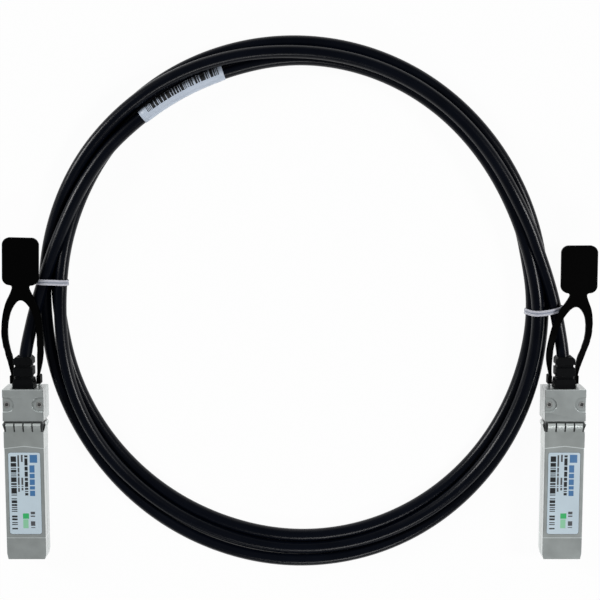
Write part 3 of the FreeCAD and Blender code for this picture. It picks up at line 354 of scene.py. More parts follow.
def surface_grain():
    """Clouded tone and fine grain of a surface, shared by every finish."""
    name = "surface_grain"
    if name in bpy.data.node_groups:
        return bpy.data.node_groups[name]
    tree, given, result = new_group(
        name, [("Coordinates", "Vector"), ("Cloud Scale", "Float"), ("Grain Scale", "Float")],
        [("Tone", "Float"), ("Grain", "Float")])
    for scale, output, detail, rough in (("Cloud Scale", "Tone", 4.0, 0.6),
                                         ("Grain Scale", "Grain", 3.0, 0.7)):
        noise = tree.nodes.new("ShaderNodeTexNoise")
        noise.inputs["Detail"].default_value = detail
        noise.inputs["Roughness"].default_value = rough
        tree.links.new(given.outputs["Coordinates"], noise.inputs["Vector"])
        tree.links.new(given.outputs[scale], noise.inputs["Scale"])
        spread = tree.nodes.new("ShaderNodeMapRange")
        spread.inputs["From Min"].default_value = 0.3
        spread.inputs["From Max"].default_value = 0.7
        tree.links.new(noise.outputs["Fac"], spread.inputs["Value"])
        tree.links.new(spread.outputs["Result"], result.inputs[output])
    return tree


def printed_field():
    """A field of ink over a ground: plain, or broken into bars of uneven width."""
    name = "printed_field"
    if name in bpy.data.node_groups:
        return bpy.data.node_groups[name]
    numbers = ("Along", "Across", "From", "To", "Low", "High", "Pitch", "Cover")
    tree, given, result = new_group(
        name, [("Under", "Color"), ("Ink", "Color")] + [(number, "Float") for number in numbers],
        [("Color", "Color")])

    def maths(operation, first, second=0.0):
        node = tree.nodes.new("ShaderNodeMath")
        node.operation = operation
        for socket, value in zip(node.inputs, (first, second)):
            if isinstance(value, float):
                socket.default_value = value
            else:
                tree.links.new(value, socket)
        return node.outputs[0]

    # fine bars within broader groups, each kept or dropped by its own noise
    sockets = given.outputs
    cells = []
    for stretch, seed in ((1.0, 0.0), (2.6, 40.5)):
        width = maths("MULTIPLY", sockets["Pitch"], stretch)
        cell = maths("FLOOR", maths("DIVIDE", sockets["Along"], width))
        noise = tree.nodes.new("ShaderNodeTexWhiteNoise")
        noise.noise_dimensions = "1D"
        tree.links.new(maths("ADD", cell, seed), noise.inputs["W"])
        cells.append(noise.outputs["Value"])
    fine = maths("LESS_THAN", cells[0], sockets["Cover"])
    broad = maths("LESS_THAN", cells[1], maths("MULTIPLY", sockets["Cover"], 1.6))
    mask = maths("MULTIPLY", fine, broad)
    for first, second in (("Along", "From"), ("To", "Along"), ("Across", "Low"), ("High", "Across")):
        mask = maths("MULTIPLY", mask, maths("GREATER_THAN", sockets[first], sockets[second]))
    mix = tree.nodes.new("ShaderNodeMix")
    mix.data_type = "RGBA"
    tree.links.new(mask, mix.inputs[0])
    tree.links.new(sockets["Under"], mix.inputs[6])
    tree.links.new(sockets["Ink"], mix.inputs[7])
    tree.links.new(mix.outputs[2], result.inputs["Color"])
    return tree


def shade(base, factor):
    return tuple(min(1.0, channel * factor) for channel in base)


def painted_highlight_line(finish, middle, height, slope, half):
    """1 on a line across a module where a highlight is painted: straight, or falling from its middle to
    both sides.
    """
    split = finish.add("ShaderNodeSeparateXYZ", {"Vector": finish.coordinates()})
    across = finish.maths("ABSOLUTE", finish.maths("SUBTRACT", split.outputs["X"], middle * MM))
    rise = finish.maths("MULTIPLY_ADD", across, slope, split.outputs["Y"])
    return finish.maths("COMPARE", rise, height * MM, half * MM)


def metal(name, base, low, high, grain=2600.0, depth=0.00001, metallic=0.5, highlight_lines=()):
    """A plated metal, its roughness between low and high: with a painted highlight where rim is 1,
    painted shade where it is -1, and painted highlight lines along the given lines.
    """
    finish = Finish(name)
    skin = finish.skin(150.0, grain)
    drift = finish.mix(skin["Tone"], shade(base, 0.93), shade(base, 1.07))
    # Painted light: rim and the lines lighten the base colour as a painted highlight; rim below 0
    # darkens it as painted shade, down to the painted shadow of a seat at -1.
    rim = finish.attribute("rim")
    for line in highlight_lines:
        rim = finish.maths("ADD", rim, painted_highlight_line(finish, *line))
    seat = finish.add("ShaderNodeMapRange", {"Value": rim, "From Min": 0.0, "From Max": -1.0})
    lit = finish.mix(rim, drift, shade(base, 1.8))
    finish.surface(
        base_color=finish.mix(seat.outputs["Result"], lit, shade(base, 0.16)),
        roughness=finish.between(skin["Tone"], low, high), metallic=metallic,
        coat_weight=0.6, coat_roughness=0.2)
    finish.bump(skin["Grain"], depth, 0.6)
    return finish.material


def moulding(name, base, low, high, cloud=120.0, specular=0.5):
    """A moulded plastic with a fine texture, its roughness between low and high."""
    finish = Finish(name)
    skin = finish.skin(cloud, 1800.0)
    finish.surface(
        base_color=finish.mix(skin["Tone"], shade(base, 0.85), shade(base, 1.15)),
        roughness=finish.between(skin["Grain"], low, high), specular_ior_level=specular)
    finish.bump(skin["Grain"], 0.00002, 0.5)
    return finish.material


def label_material(side):
    """Satin label stock with bars and plain fields of ink."""
    finish = Finish(f"{side}_label_print")
    place = finish.add("ShaderNodeMapping", {"Vector": finish.coordinates(),
                                             "Location": (-MODULES[side] * MM, 0.0, 0.0)})
    split = finish.add("ShaderNodeSeparateXYZ", {"Vector": place.outputs["Vector"]})
    skin = finish.skin(90.0, 2200.0)
    ground = colours().label_ground
    under = finish.mix(skin["Tone"], shade(ground, 0.97), shade(ground, 1.03))
    for ink, start, end, low, high, pitch, cover in LABEL_PRINT:
        field = finish.group(
            printed_field(), under=under, ink=getattr(colours(), ink), along=split.outputs["Y"],
            across=split.outputs["X"], low=low * MM, high=high * MM, pitch=pitch * MM, cover=cover)
        field.inputs["From"].default_value = start * MM
        field.inputs["To"].default_value = end * MM
        under = field.outputs["Color"]
    finish.surface(base_color=under, roughness=finish.between(skin["Grain"], 0.34, 0.42))
    finish.bump(skin["Grain"], 0.000004, 0.4)
    return finish.material


def sleeve_material(span):
    """White sleeve with a row of bars; its mesh says how far along and around it a point is."""
    finish = Finish("sleeve_print")
    along = finish.attribute("along")
    around = finish.attribute("around")
    skin = finish.skin(120.0, 2000.0)
    base = colours().sleeve
    under = finish.mix(skin["Tone"], shade(base, 0.95), shade(base, 1.04))
    field = finish.group(
        printed_field(), under=under, ink=colours().ink_dark, along=along, across=around, low=0.0,
        high=SLEEVE_REACH, pitch=SLEEVE_PITCH * MM, cover=SLEEVE_COVER)
    before, after = SLEEVE_MARGINS
    field.inputs["From"].default_value = before * MM
    field.inputs["To"].default_value = span - after * MM
    finish.surface(
        base_color=field.outputs["Color"], roughness=finish.between(skin["Grain"], 0.36, 0.46))
    finish.bump(skin["Grain"], 0.000006, 0.4)
    return finish.material


def jacket_material():
    """Black jacket with a soft sheen, faint rubbed haze and a fine drawn texture."""
    finish = Finish("jacket")
    skin = finish.skin(60.0, 1500.0)
    base = colours().jacket
    finish.surface(
        base_color=finish.mix(skin["Tone"], shade(base, 0.8), shade(base, 1.25)),
        roughness=finish.between(skin["Tone"], 0.22, 0.3), specular_ior_level=0.18)
    finish.bump(skin["Grain"], 0.00001, 0.4)
    return finish.material


def tie_material():
    """Pale translucent plastic, with painted shade in the groove between the two wires."""
    finish = Finish("tie_film")
    skin = finish.skin(200.0, 1600.0)
    base = colours().tie
    film = finish.mix(skin["Tone"], shade(base, 0.92), shade(base, 1.04))
    spread = finish.maths("ABSOLUTE", finish.attribute("across"))
    groove = finish.add("ShaderNodeMapRange", {"Value": spread, "From Min": TIE_GROOVE[0],
                                               "From Max": TIE_GROOVE[1], "To Min": 1.0, "To Max": 0.0})
    finish.surface(
        base_color=finish.mix(groove.outputs["Result"], film, tuple(colours().groove)),
        roughness=finish.between(skin["Grain"], 0.4, 0.52), subsurface_weight=0.15,
        subsurface_radius=(0.001, 0.001, 0.0012))
    finish.bump(skin["Grain"], 0.00001, 0.5)
    return finish.material


def floor_material():
    """Pale matt floor that shows near white to the eye and to gloss, and keeps the shadow."""
    finish = Finish("floor")
    finish.surface(base_color=tuple(colours().floor), roughness=0.9, specular_ior_level=0.1)
    path = finish.add("ShaderNodeLightPath").outputs
    seen = finish.maths("MAXIMUM", path["Is Camera Ray"], path["Is Glossy Ray"])
    seen = finish.maths("MAXIMUM", seen, path["Is Transmission Ray"])
    share = finish.maths("MULTIPLY", seen, levels().floor)
    glow = finish.add("ShaderNodeEmission", {"Color": (1.0, 1.0, 1.0), "Strength": 1.0})
    blend = finish.add("ShaderNodeMixShader", {0: share, 1: finish.shader.outputs["BSDF"],
                                               2: glow.outputs["Emission"]})
    output = finish.tree.nodes["Material Output"]
    finish.tree.links.new(blend.outputs[0], output.inputs["Surface"])
    return finish.material


# Pieces

def place_piece(name, work, body, material, node):
    """Turn a bmesh into a finished piece that rides on a body and stands for a node."""
    mesh = bpy.data.meshes.new(name)
    work.to_mesh(mesh)
    work.free()
    piece = bpy.data.objects.new(name, mesh)
    bpy.context.scene.collection.objects.link(piece)
    mesh.materials.append(material)
    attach(piece, body)
    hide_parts(node)
    return piece


def merged_copy(node):
    """A node's mesh as one welded skin, its flat faces joined."""
    work = bmesh.new()
    work.from_mesh(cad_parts[node].data)
    bmesh.ops.remove_doubles(work, verts=work.verts[:], dist=WELD * MM)
    bmesh.ops.dissolve_degenerate(work, edges=work.edges[:], dist=SLIVER * MM)
    bmesh.ops.dissolve_limit(work, angle_limit=math.radians(FLAT_ANGLE), verts=work.verts[:],
                             edges=work.edges[:], use_dissolve_boundaries=False)
    bmesh.ops.recalc_face_normals(work, faces=work.faces[:])
    return work


def has_room(edge, width):
    """True where both faces beside an edge are wide enough to take its rounding."""
    return all(face.calc_area() / edge.calc_length() > LEAST_ROOM * width for face in edge.link_faces)


def round_edges(work, width, segments):
    """Round the real edges that have room for it, and mark the new faces as a rim with a painted
    highlight.
    """
    rim = work.faces.layers.float.get("rim") or work.faces.layers.float.new("rim")
    chosen = [edge for edge in work.edges
              if edge.is_manifold and math.degrees(edge.calc_face_angle(0.0)) > SHARP_ANGLE
              and edge.calc_length() > LEAST_LENGTH * width and has_room(edge, width)
              and not any(face[rim] for face in edge.link_faces)]
    made = bmesh.ops.bevel(work, geom=chosen, offset=width, offset_type="OFFSET", segments=segments,
                           profile=0.5, affect="EDGES", clamp_overlap=False, material=-1)
    for face in made["faces"]:
        face[rim] = PAINTED_HIGHLIGHT


def paint_step_light(work, seats):
    """Mark rims and low walls with a painted highlight to the rear and painted shade to the front and
    the ring, side walls with half a painted highlight, and seats with painted shadow.
    """
    rim = work.faces.layers.float.get("rim")
    work.normal_update()
    for face in work.faces:
        middle = face.calc_center_median()
        inward = -face.normal.x if middle.x > 0 else face.normal.x
        width = face.calc_area() / max(edge.calc_length() for edge in face.edges)
        if face[rim] or width < LOW_WALL * MM:
            if face.normal.y > LEANING:
                face[rim] = PAINTED_HIGHLIGHT
            else:
                face[rim] = PAINTED_SHADE if face.normal.y < -LEANING or inward > LEANING else PLAIN
        elif abs(face.normal.x) > SIDE_WALL:
            face[rim] = HALF_HIGHLIGHT
        for low, high in seats:
            if all(low[axis] < middle[axis] < high[axis] for axis in range(3)):
                face[rim] = SEAT_SHADOW


def soften(work, width, segments=2, seats=()):
    """Round the real edges of a welded skin, wide and then narrow, paint light and shade on its rims,
    walls and seats, and smooth its curved faces.
    """
    for share in ROUNDING_PASSES:
        round_edges(work, share * width, segments)
    paint_step_light(work, seats)
    for face in work.faces:
        face.smooth = True
    for edge in work.edges:
        edge.smooth = edge.is_manifold and math.degrees(edge.calc_face_angle(0.0)) < SMOOTH_ANGLE
    return work


def even_normals(piece):
    """Keep large flat faces flat beside their rounded edges."""
    modifier = piece.modifiers.new("even_normals", "WEIGHTED_NORMAL")
    modifier.keep_sharp = True
    return piece


def dressed(node, suffix, body, material, slot, width, **how):
    """A node's welded copy with rounded edges, in its finish."""
    work = soften(merged_copy(node), width, **how)
    return even_normals(place_piece(f"{node}_{suffix}", work, body, material, node))


def paint(node, material):
    """Give a CAD node its finish and leave its mesh alone."""
    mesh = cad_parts[node].data
    mesh.materials.clear()
    mesh.materials.append(material)


def eased(turned):
    """Outward shift and height of the winding at an angle, on a smooth curve through its rows."""
    last = len(WINDING) - 2
    spot = next((row for row in range(last + 1) if WINDING[row + 1][0] >= turned), last)
    here, there = WINDING[spot], WINDING[spot + 1]
    before, after = WINDING[max(0, spot - 1)], WINDING[min(last + 1, spot + 2)]
    gap = there[0] - here[0]
    share = (turned - here[0]) / gap
    square, cube = share ** 2, share ** 3
    results = []
    for column in (1, 2):
        slope_here = (there[column] - before[column]) / (there[0] - before[0]) * gap
        slope_there = (after[column] - here[column]) / (after[0] - here[0]) * gap
        results.append(
            (2 * cube - 3 * square + 1) * here[column] + (cube - 2 * square + share) * slope_here
            + (3 * square - 2 * cube) * there[column] + (cube - square) * slope_there)
    return results


def ring_place(turned):
    """A point of the winding, in metres."""
    outward, height = eased(turned)
    around = turned % 360.0
    for tie_turn in TIE_TURNS:
        apart = (around - tie_turn + 180.0) % 360.0 - 180.0
        height += TIE_LIFT * math.exp(-(apart / TIE_SPREAD) ** 2)
    angle = math.radians(180.0 - turned)
    normal = Vector((RING_HALF[1] * math.cos(angle), RING_HALF[0] * math.sin(angle), 0.0)).normalized()
    middle = Vector((RING_CENTRE[0] + RING_HALF[0] * math.cos(angle),
                     RING_CENTRE[1] + RING_HALF[1] * math.sin(angle), height))
    return (middle + normal * outward) * MM


def cable_line():
    """Points along the laid cable's middle line, in their order."""
    curve = bpy.data.objects["cable"]
    depth = curve.data.bevel_depth
    curve.data.bevel_depth = 0.0
    bpy.context.view_layer.update()
    mesh = bpy.data.meshes.new_from_object(curve)
    points = [vertex.co.copy() for vertex in mesh.vertices]
    bpy.data.meshes.remove(mesh)
    curve.data.bevel_depth = depth
    return points


def swept_tube(points, radii):
    """A tube along points, grown ring by ring; its skin knows how far along and around it is."""
    work = bmesh.new()
    along_layer = work.verts.layers.float.new("along")
    around_layer = work.verts.layers.float.new("around")
    rings = []
    travelled = 0.0
    for index, (point, radius) in enumerate(zip(points, radii)):
        ahead = (points[min(index + 1, len(points) - 1)] - points[max(index - 1, 0)]).normalized()
        side = ahead.cross(Vector((0, 0, 1))).normalized()
        up = side.cross(ahead)
        turn = Matrix((side, up, ahead)).transposed().to_4x4()
        made = bmesh.ops.create_circle(work, segments=TUBE_SIDES, radius=radius,
                                       matrix=Matrix.Translation(point) @ turn)
        if index:
            travelled += (point - points[index - 1]).length
        for vertex in made["verts"]:
            local = turn.inverted() @ (vertex.co - point)
            vertex[along_layer] = travelled
            vertex[around_layer] = math.atan2(local.y, -local.x) / (2 * math.pi)
        rings.append(made["verts"])
    for pair in zip(rings, rings[1:]):
        edges = {edge for ring in pair for vertex in ring for edge in vertex.link_edges}
        loops = [edge for edge in edges if any(set(edge.verts) <= set(ring) for ring in pair)]
        bmesh.ops.bridge_loops(work, edges=loops)
    bmesh.ops.recalc_face_normals(work, faces=work.faces[:])
    for face in work.faces:
        face.smooth = True
    return work, travelled


class CABLE_OT_lay_cable(bpy.types.Operator):
    """Lay the whole cable as one smooth line and give it its round jacket"""

    bl_idname = "cable.lay_cable"
    bl_label = "Lay the cable"

    def execute(self, context):
        first, last = WINDING[0][0], WINDING[-1][0]
        points = [Vector(corner) * MM for corner in LEFT_ROUTE]
        points += [ring_place(first + (last - first) * step / RING_STEPS)
                   for step in range(RING_STEPS + 1)]
        points += [Vector(corner) * MM for corner in RIGHT_ROUTE[::-1]]
        data = bpy.data.curves.new("cable", "CURVE")
        data.dimensions = "3D"
        spline = data.splines.new("NURBS")
        spline.points.add(len(points) - 1)
        for control, point in zip(spline.points, points):
            control.co = (*point, 1.0)
            control.radius = sizes().cable_diameter / 2
        spline.order_u = 3
        spline.use_endpoint_u = True
        data.resolution_u = 5
        data.bevel_depth = 1.0
        data.bevel_resolution = 6
        data.use_fill_caps = True
        cable = bpy.data.objects.new("cable", data)
        context.scene.collection.objects.link(cable)
        data.materials.append(jacket_material())
        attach(cable, ROOT)
        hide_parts("cable_coil", "left_tail", "right_tail")
        return {"FINISHED"}


class CABLE_OT_wrap_sleeve(bpy.types.Operator):
    """Wrap the printed sleeve round the cable where it shows"""

    bl_idname = "cable.wrap_sleeve"
    bl_label = "Wrap the sleeve"

    def execute(self, context):
        line = cable_line()
        line = line[:len(line) // 4]  # its first quarter, where the sleeve is
        first, last = (self.nearest(line, ring_place(turned)) for turned in SLEEVE_TURNS)
        stretch = line[first:last + 1]
        bare = sizes().cable_diameter / 2
        radii = [bare + sizes().sleeve_wall] * len(stretch)
        radii[0] = radii[-1] = bare + LIP_WALL * sizes().sleeve_wall
        lips = [stretch[0] + (stretch[1] - stretch[0]) * LIP_STEP] + stretch[1:-1] + [stretch[-1]]
        points = [stretch[0]] + lips + [stretch[-1] + (stretch[-1] - stretch[-2]) * LIP_STEP]
        work, span = swept_tube(points, [bare * LIP_CLOSE] + radii + [bare * LIP_CLOSE])
        place_piece("cable_sleeve", work, ROOT, sleeve_material(span), "cable_label")
        return {"FINISHED"}

    def nearest(self, line, spot):
        """The index of the point of a line that is nearest to a spot."""
        return min(range(len(line)), key=lambda index: (line[index] - spot).length)


class CABLE_OT_bind_ties(bpy.types.Operator):
    """Bend a ribbed twist tie tightly round the strands on each side"""

    bl_idname = "cable.bind_ties"
    bl_label = "Bind the ties"

    def execute(self, context):
        line = cable_line()
        material = tie_material()
        for side, (sign, tie_y, sag, tilt) in TIES.items():
            spots = strand_spots(line, sign, tie_y * MM)
            work = tie_band(spots, tie_y * MM, sag * MM, tilt * MM)
            even_normals(place_piece(f"{side}_twist_tie", work, ROOT, material,
                                     f"{side}_tie"))
        return {"FINISHED"}


def strand_spots(line, sign, tie_y):
    """Where the cable's middle line passes the plane of a tie, on one side of the ring."""
    spots = []
    for near, far in zip(line, line[1:]):
        if near.x * sign > 0 and (near.y - tie_y) * (far.y - tie_y) <= 0 and near.y != far.y:
            spots.append(near.lerp(far, (tie_y - near.y) / (far.y - near.y)))
    return spots


def slice_across(work, place, normal):
    """Cut new edges into a skin along a plane."""
    bmesh.ops.bisect_plane(work, geom=work.verts[:] + work.edges[:] + work.faces[:], dist=1e-7,
                           plane_co=place, plane_no=normal)


def tie_band(spots, tie_y, sag, tilt):
    """A band pulled round the strands, with two wires that stand out along it."""
    half = sizes().tie_width / 2
    work = bmesh.new()
    turn = Matrix.Rotation(math.radians(90.0), 4, "X")
    for spot in spots:
        for end in (-half, half):
            bmesh.ops.create_circle(
                work, segments=TIE_SIDES, radius=sizes().cable_diameter / 2 + TIE_GAP * MM,
                matrix=Matrix.Translation((spot.x, tie_y + end, spot.z)) @ turn)
    hull = bmesh.ops.convex_hull(work, input=work.verts[:])
    loose = {item for item in hull["geom_interior"] + hull["geom_unused"]
             if isinstance(item, bmesh.types.BMVert)}
    bmesh.ops.delete(work, geom=list(loose), context="VERTS")
    caps = [face for face in work.faces if abs(face.normal.y) > 0.9]
    bmesh.ops.delete(work, geom=caps, context="FACES")
    bmesh.ops.dissolve_limit(work, angle_limit=math.radians(TIE_FLAT), verts=work.verts[:],
                             edges=work.edges[:])
    for share in TIE_CUTS:
        slice_across(work, (0, tie_y + share * half, 0), (0, 1, 0))
    low, high = (pick(vertex.co.x for vertex in work.verts) for pick in (min, max))
    for step in range(1, TIE_STEPS):
        slice_across(work, (low + (high - low) * step / TIE_STEPS, 0, 0), (1, 0, 0))
    bmesh.ops.recalc_face_normals(work, faces=work.faces[:])
    work.normal_update()
    across = work.verts.layers.float.new("across")
    for vertex in work.verts:
        vertex[across] = (vertex.co.y - tie_y) / half
        if TIE_WIRE[0] < abs(vertex[across]) < TIE_WIRE[1]:
            vertex.co += Vector((vertex.normal.x, 0, vertex.normal.z)).normalized() * sizes().tie_rib
        share = 2 * (vertex.co.x - low) / (high - low) - 1
        vertex.co.y += sag * (share ** 2 - TIE_LEVEL) + tilt * share
    bmesh.ops.solidify(work, geom=work.faces[:], thickness=-sizes().tie_thickness)
    bmesh.ops.recalc_face_normals(work, faces=work.faces[:])
    for face in work.faces:
        face.smooth = True
    for edge in work.edges:
        edge.smooth = edge.calc_face_angle(0.0) < math.radians(TIE_SMOOTH)
    return work


class CABLE_OT_finish_shells(bpy.types.Operator):
    """Round and plate the die-cast shells of both modules, with painted highlights and shade"""

    bl_idname = "cable.finish_shells"
    bl_label = "Finish the shells"

    def execute(self, context):
        for side, middle in MODULES.items():
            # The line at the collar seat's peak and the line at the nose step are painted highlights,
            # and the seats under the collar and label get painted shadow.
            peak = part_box(f"{side}_shield_collar")[0].y / MM + SEAT_PEAK
            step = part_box(f"{side}_top_shell")[0].y / MM + NOSE_STEP
            highlight_lines = ((middle, peak, SEAT_SLOPE, SEAT_LINE), (middle, step, 0.0, STEP_LINE))
            plated = metal(f"{side}_cast_zinc", colours().cast, 0.34, 0.44, highlight_lines=highlight_lines)
            seats = [self.seat(f"{side}_shield_collar", SEAT_ROOM),
                     self.seat(f"{side}_label", LABEL_ROOM)]
            for part in ("top_shell", "bottom_shell"):
                dressed(f"{side}_{part}", "cast", ROOT, plated, "cast_shell", sizes().cast_edge,
                        seats=seats)
        return {"FINISHED"}

    def seat(self, node, over):
        """The box that a node sits in, with room round it and so much over its top."""
        low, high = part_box(node)
        room = Vector((SEAT_ROOM, SEAT_ROOM, SEAT_ROOM)) * MM
        return low - room, high + Vector((SEAT_ROOM, SEAT_ROOM, over)) * MM


class CABLE_OT_finish_collars(bpy.types.Operator):
    """Finish the sprung shield collars"""

    bl_idname = "cable.finish_collars"
    bl_label = "Finish the collars"

    def execute(self, context):
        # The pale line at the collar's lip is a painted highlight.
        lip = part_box("left_shield_collar")[1].y / MM - LIP_BACK
        rolled = metal("collar_sheet", colours().sheet, 0.3, 0.4, grain=3600.0,
                       highlight_lines=[(0.0, lip, 0.0, LIP_LINE)])
        for side in MODULES:
            dressed(f"{side}_shield_collar", "sheet", ROOT, rolled, "spring_sheet", sizes().sheet_edge)
        return {"FINISHED"}


class CABLE_OT_print_labels(bpy.types.Operator):
    """Print the module labels with plain bars and fields"""

    bl_idname = "cable.print_labels"
    bl_label = "Print the labels"

    def execute(self, context):
        for side in MODULES:
            node = f"{side}_label"
            work = soften(merged_copy(node), sizes().label_edge)
            place_piece(f"{node}_stock", work, ROOT, label_material(side), node)
        return {"FINISHED"}


class CABLE_OT_mould_boots(bpy.types.Operator):
    """Mould the strain relief boots"""

    bl_idname = "cable.mould_boots"
    bl_label = "Mould the boots"

    def execute(self, context):
        black = moulding("boot_moulding", colours().boot, 0.48, 0.6, specular=0.1)
        for side in MODULES:
            dressed(f"{side}_boot", "moulded", ROOT, black, "moulded_black", sizes().boot_edge,
                    segments=3)
        return {"FINISHED"}


class CABLE_OT_mould_tabs(bpy.types.Operator):
    """Mould the pull tabs"""

    bl_idname = "cable.mould_tabs"
    bl_label = "Mould the tabs"

    def execute(self, context):
        black = moulding("tab_moulding", colours().tab, 0.5, 0.6, specular=0.04)
        for side in MODULES:
            dressed(f"{side}_pull_tab", "moulded", f"{side}_release", black, "tab_plastic",
                    sizes().tab_edge, segments=3)
        return {"FINISHED"}


class CABLE_OT_finish_releases(bpy.types.Operator):
    """Finish the release sliders and their springs"""

    bl_idname = "cable.finish_releases"
    bl_label = "Finish the releases"

    def execute(self, context):
        rolled = metal("slider_sheet", colours().sheet, 0.3, 0.4, grain=3600.0)
        for side, centre in MODULES.items():
            dressed(f"{side}_release_slider", "sheet", f"{side}_release", rolled, "spring_sheet",
                    sizes().sheet_edge)
            node = f"{side}_slider_spring"
            wire = merged_copy(node)
            for face in wire.faces:
                face.smooth = True
            spring = place_piece(f"{node}_wire", wire, ROOT, rolled, node)
            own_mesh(spring)
        return {"FINISHED"}


class CABLE_OT_finish_screws(bpy.types.Operator):
    """Finish the socket screws, with painted shade in their sockets"""

    bl_idname = "cable.finish_screws"
    bl_label = "Finish the screws"

    def execute(self, context):
        plated = metal("screw_plating", colours().screw, 0.3, 0.42, grain=3000.0)
        # The sockets get a dark finish as painted shade.
        shaded = moulding("screw_socket_shade", colours().socket, 0.6, 0.7, specular=0.1)
        for side in MODULES:
            screws = dressed(f"{side}_screws", "steel", ROOT, plated, "screw_steel", sizes().screw_edge)
            screws.data.materials.append(shaded)
            for face in screws.data.polygons:
                face.material_index = int(self.in_socket(screws.data, face))
        return {"FINISHED"}

    def in_socket(self, mesh, face):
        """True for a face of a hexagon socket: close round a screw's axis, below its rim."""
        top = max(vertex.co.z for vertex in mesh.vertices)
        middle = sum((vertex.co.x for vertex in mesh.vertices)) / len(mesh.vertices)
        sign = 1 if face.center.x > middle else -1
        near = [vertex.co for vertex in mesh.vertices if (vertex.co.x - middle) * sign > 0]
        axis = (min(spot.x for spot in near) + max(spot.x for spot in near)) / 2
        row = (min(spot.y for spot in near) + max(spot.y for spot in near)) / 2
        reach = math.hypot(face.center.x - axis, face.center.y - row)
        return reach < SOCKET_REACH * MM and face.center.z < top - SOCKET_DEPTH * MM


class CABLE_OT_finish_insides(bpy.types.Operator):
    """Finish the board, its pads and chip, and the cable's foil and ring"""

    bl_idname = "cable.finish_insides"
    bl_label = "Finish the insides"

    def execute(self, context):
        looks = {
            "circuit_board": moulding("board_mask", colours().board, 0.3, 0.42, cloud=700.0),
            "contact_pads": metal("pad_gold", colours().gold, 0.2, 0.3, metallic=1.0),
            "memory_chip": moulding("chip_moulding", colours().chip, 0.45, 0.6),
            "wire_pairs": metal("pair_foil", colours().foil, 0.3, 0.45, metallic=1.0),
            "cable_core": metal("core_braid", colours().foil, 0.35, 0.55, metallic=1.0, grain=1400.0,
                                depth=0.00006),
            "crimp_ferrule": metal("ring_sheet", colours().sheet, 0.28, 0.4, metallic=1.0),
        }
        for side in MODULES:
            for part, material in looks.items():
                paint(f"{side}_{part}", material)
        return {"FINISHED"}


def area_light(scene, name, place, size, power):
    """A soft light that points at the middle of the ring."""
    lamp = bpy.data.lights.new(name, "AREA")
    lamp.shape = "RECTANGLE"
    lamp.size, lamp.size_y = size
    lamp.energy = power
    item = bpy.data.objects.new(name, lamp)
    item.location = place
    item.rotation_euler = (Vector(LIGHT_TARGET) - Vector(place)).to_track_quat("-Z", "Y").to_euler()
    scene.collection.objects.link(item)


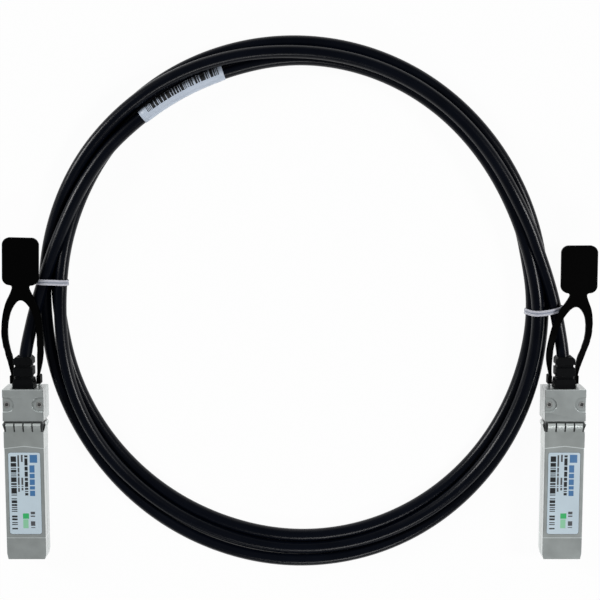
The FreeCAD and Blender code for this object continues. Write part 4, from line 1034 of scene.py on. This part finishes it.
class CABLE_OT_set_stage(bpy.types.Operator):
    """Set the camera, the pale floor and the soft studio light"""

    bl_idname = "cable.set_stage"
    bl_label = "Set the stage"

    def execute(self, context):
        scene = context.scene
        scene.view_settings.view_transform = "Standard"
        lens = bpy.data.cameras.new("camera")
        lens.lens = CAMERA_LENS
        lens.sensor_width = 36.0
        lens.clip_start = 0.01
        lens.clip_end = 20.0
        camera = bpy.data.objects.new("camera", lens)
        camera.location = CAMERA_PLACE
        camera.rotation_euler = (math.radians(CAMERA_TILT), 0.0, 0.0)
        scene.collection.objects.link(camera)
        scene.camera = camera

        work = bmesh.new()
        bmesh.ops.create_grid(work, x_segments=1, y_segments=1, size=4.0)
        mesh = bpy.data.meshes.new("floor")
        work.to_mesh(mesh)
        work.free()
        floor = bpy.data.objects.new("floor", mesh)
        scene.collection.objects.link(floor)
        mesh.materials.append(floor_material())

        for name, place, size, power, share in LIGHTS:
            area_light(scene, name, place, size, share * getattr(levels(), power))
        self.light_world(scene)
        return {"FINISHED"}

    def light_world(self, scene):
        """White to the eye, and calmer overhead than at the horizon, so that dark gloss stays dark."""
        world = bpy.data.worlds.new("studio")
        world.use_nodes = True
        scene.world = world
        tree = world.node_tree
        direction = tree.nodes.new("ShaderNodeTexCoord")
        split = tree.nodes.new("ShaderNodeSeparateXYZ")
        fade = tree.nodes.new("ShaderNodeMapRange")
        fade.interpolation_type = "SMOOTHSTEP"
        for name, value in (("From Min", WORLD_FADE[0]), ("From Max", WORLD_FADE[1]),
                            ("To Min", levels().horizon), ("To Max", levels().overhead)):
            fade.inputs[name].default_value = value
        background = tree.nodes["Background"]
        background.inputs["Color"].default_value = (1.0, 1.0, 1.0, 1.0)
        tree.links.new(direction.outputs["Generated"], split.inputs["Vector"])
        tree.links.new(split.outputs["Z"], fade.inputs["Value"])
        path = tree.nodes.new("ShaderNodeLightPath")
        seen = tree.nodes.new("ShaderNodeMath")
        seen.operation = "MAXIMUM"
        tree.links.new(fade.outputs["Result"], seen.inputs[0])
        tree.links.new(path.outputs["Is Camera Ray"], seen.inputs[1])
        tree.links.new(seen.outputs[0], background.inputs["Strength"])


PIECE_OPERATORS = (
    CABLE_OT_lay_cable, CABLE_OT_wrap_sleeve, CABLE_OT_bind_ties, CABLE_OT_finish_shells,
    CABLE_OT_finish_collars, CABLE_OT_print_labels, CABLE_OT_mould_boots, CABLE_OT_mould_tabs,
    CABLE_OT_finish_releases, CABLE_OT_finish_screws, CABLE_OT_finish_insides, CABLE_OT_set_stage,
)


class CABLE_PT_pieces(bpy.types.Panel):
    """Pieces of the direct attach cable"""

    bl_idname = "CABLE_PT_pieces"
    bl_label = "Direct attach cable"
    bl_space_type = "VIEW_3D"
    bl_region_type = "UI"
    bl_category = "Cable"

    def draw(self, context):
        for operator in PIECE_OPERATORS:
            self.layout.operator(operator.bl_idname)
        for group in (sizes(), colours(), levels()):
            box = self.layout.box()
            for name in group.__annotations__:
                box.prop(group, name)


CLASSES = (CableSizes, CableColours, StudioLevels, *PIECE_OPERATORS, CABLE_PT_pieces)


def register():
    for item in CLASSES:
        bpy.utils.register_class(item)
    bpy.types.Scene.cable_sizes = PointerProperty(type=CableSizes)
    bpy.types.Scene.cable_colours = PointerProperty(type=CableColours)
    bpy.types.Scene.studio_levels = PointerProperty(type=StudioLevels)


def unregister():
    del bpy.types.Scene.studio_levels
    del bpy.types.Scene.cable_colours
    del bpy.types.Scene.cable_sizes
    for item in reversed(CLASSES):
        bpy.utils.unregister_class(item)


def main():
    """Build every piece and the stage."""
    register()
    for operator in PIECE_OPERATORS:
        group, name = operator.bl_idname.split(".")
        result = getattr(getattr(bpy.ops, group), name)()
        if result != {"FINISHED"}:
            raise RuntimeError(f"{operator.bl_idname} didn't finish")


if __name__ == "__main__":
    main()
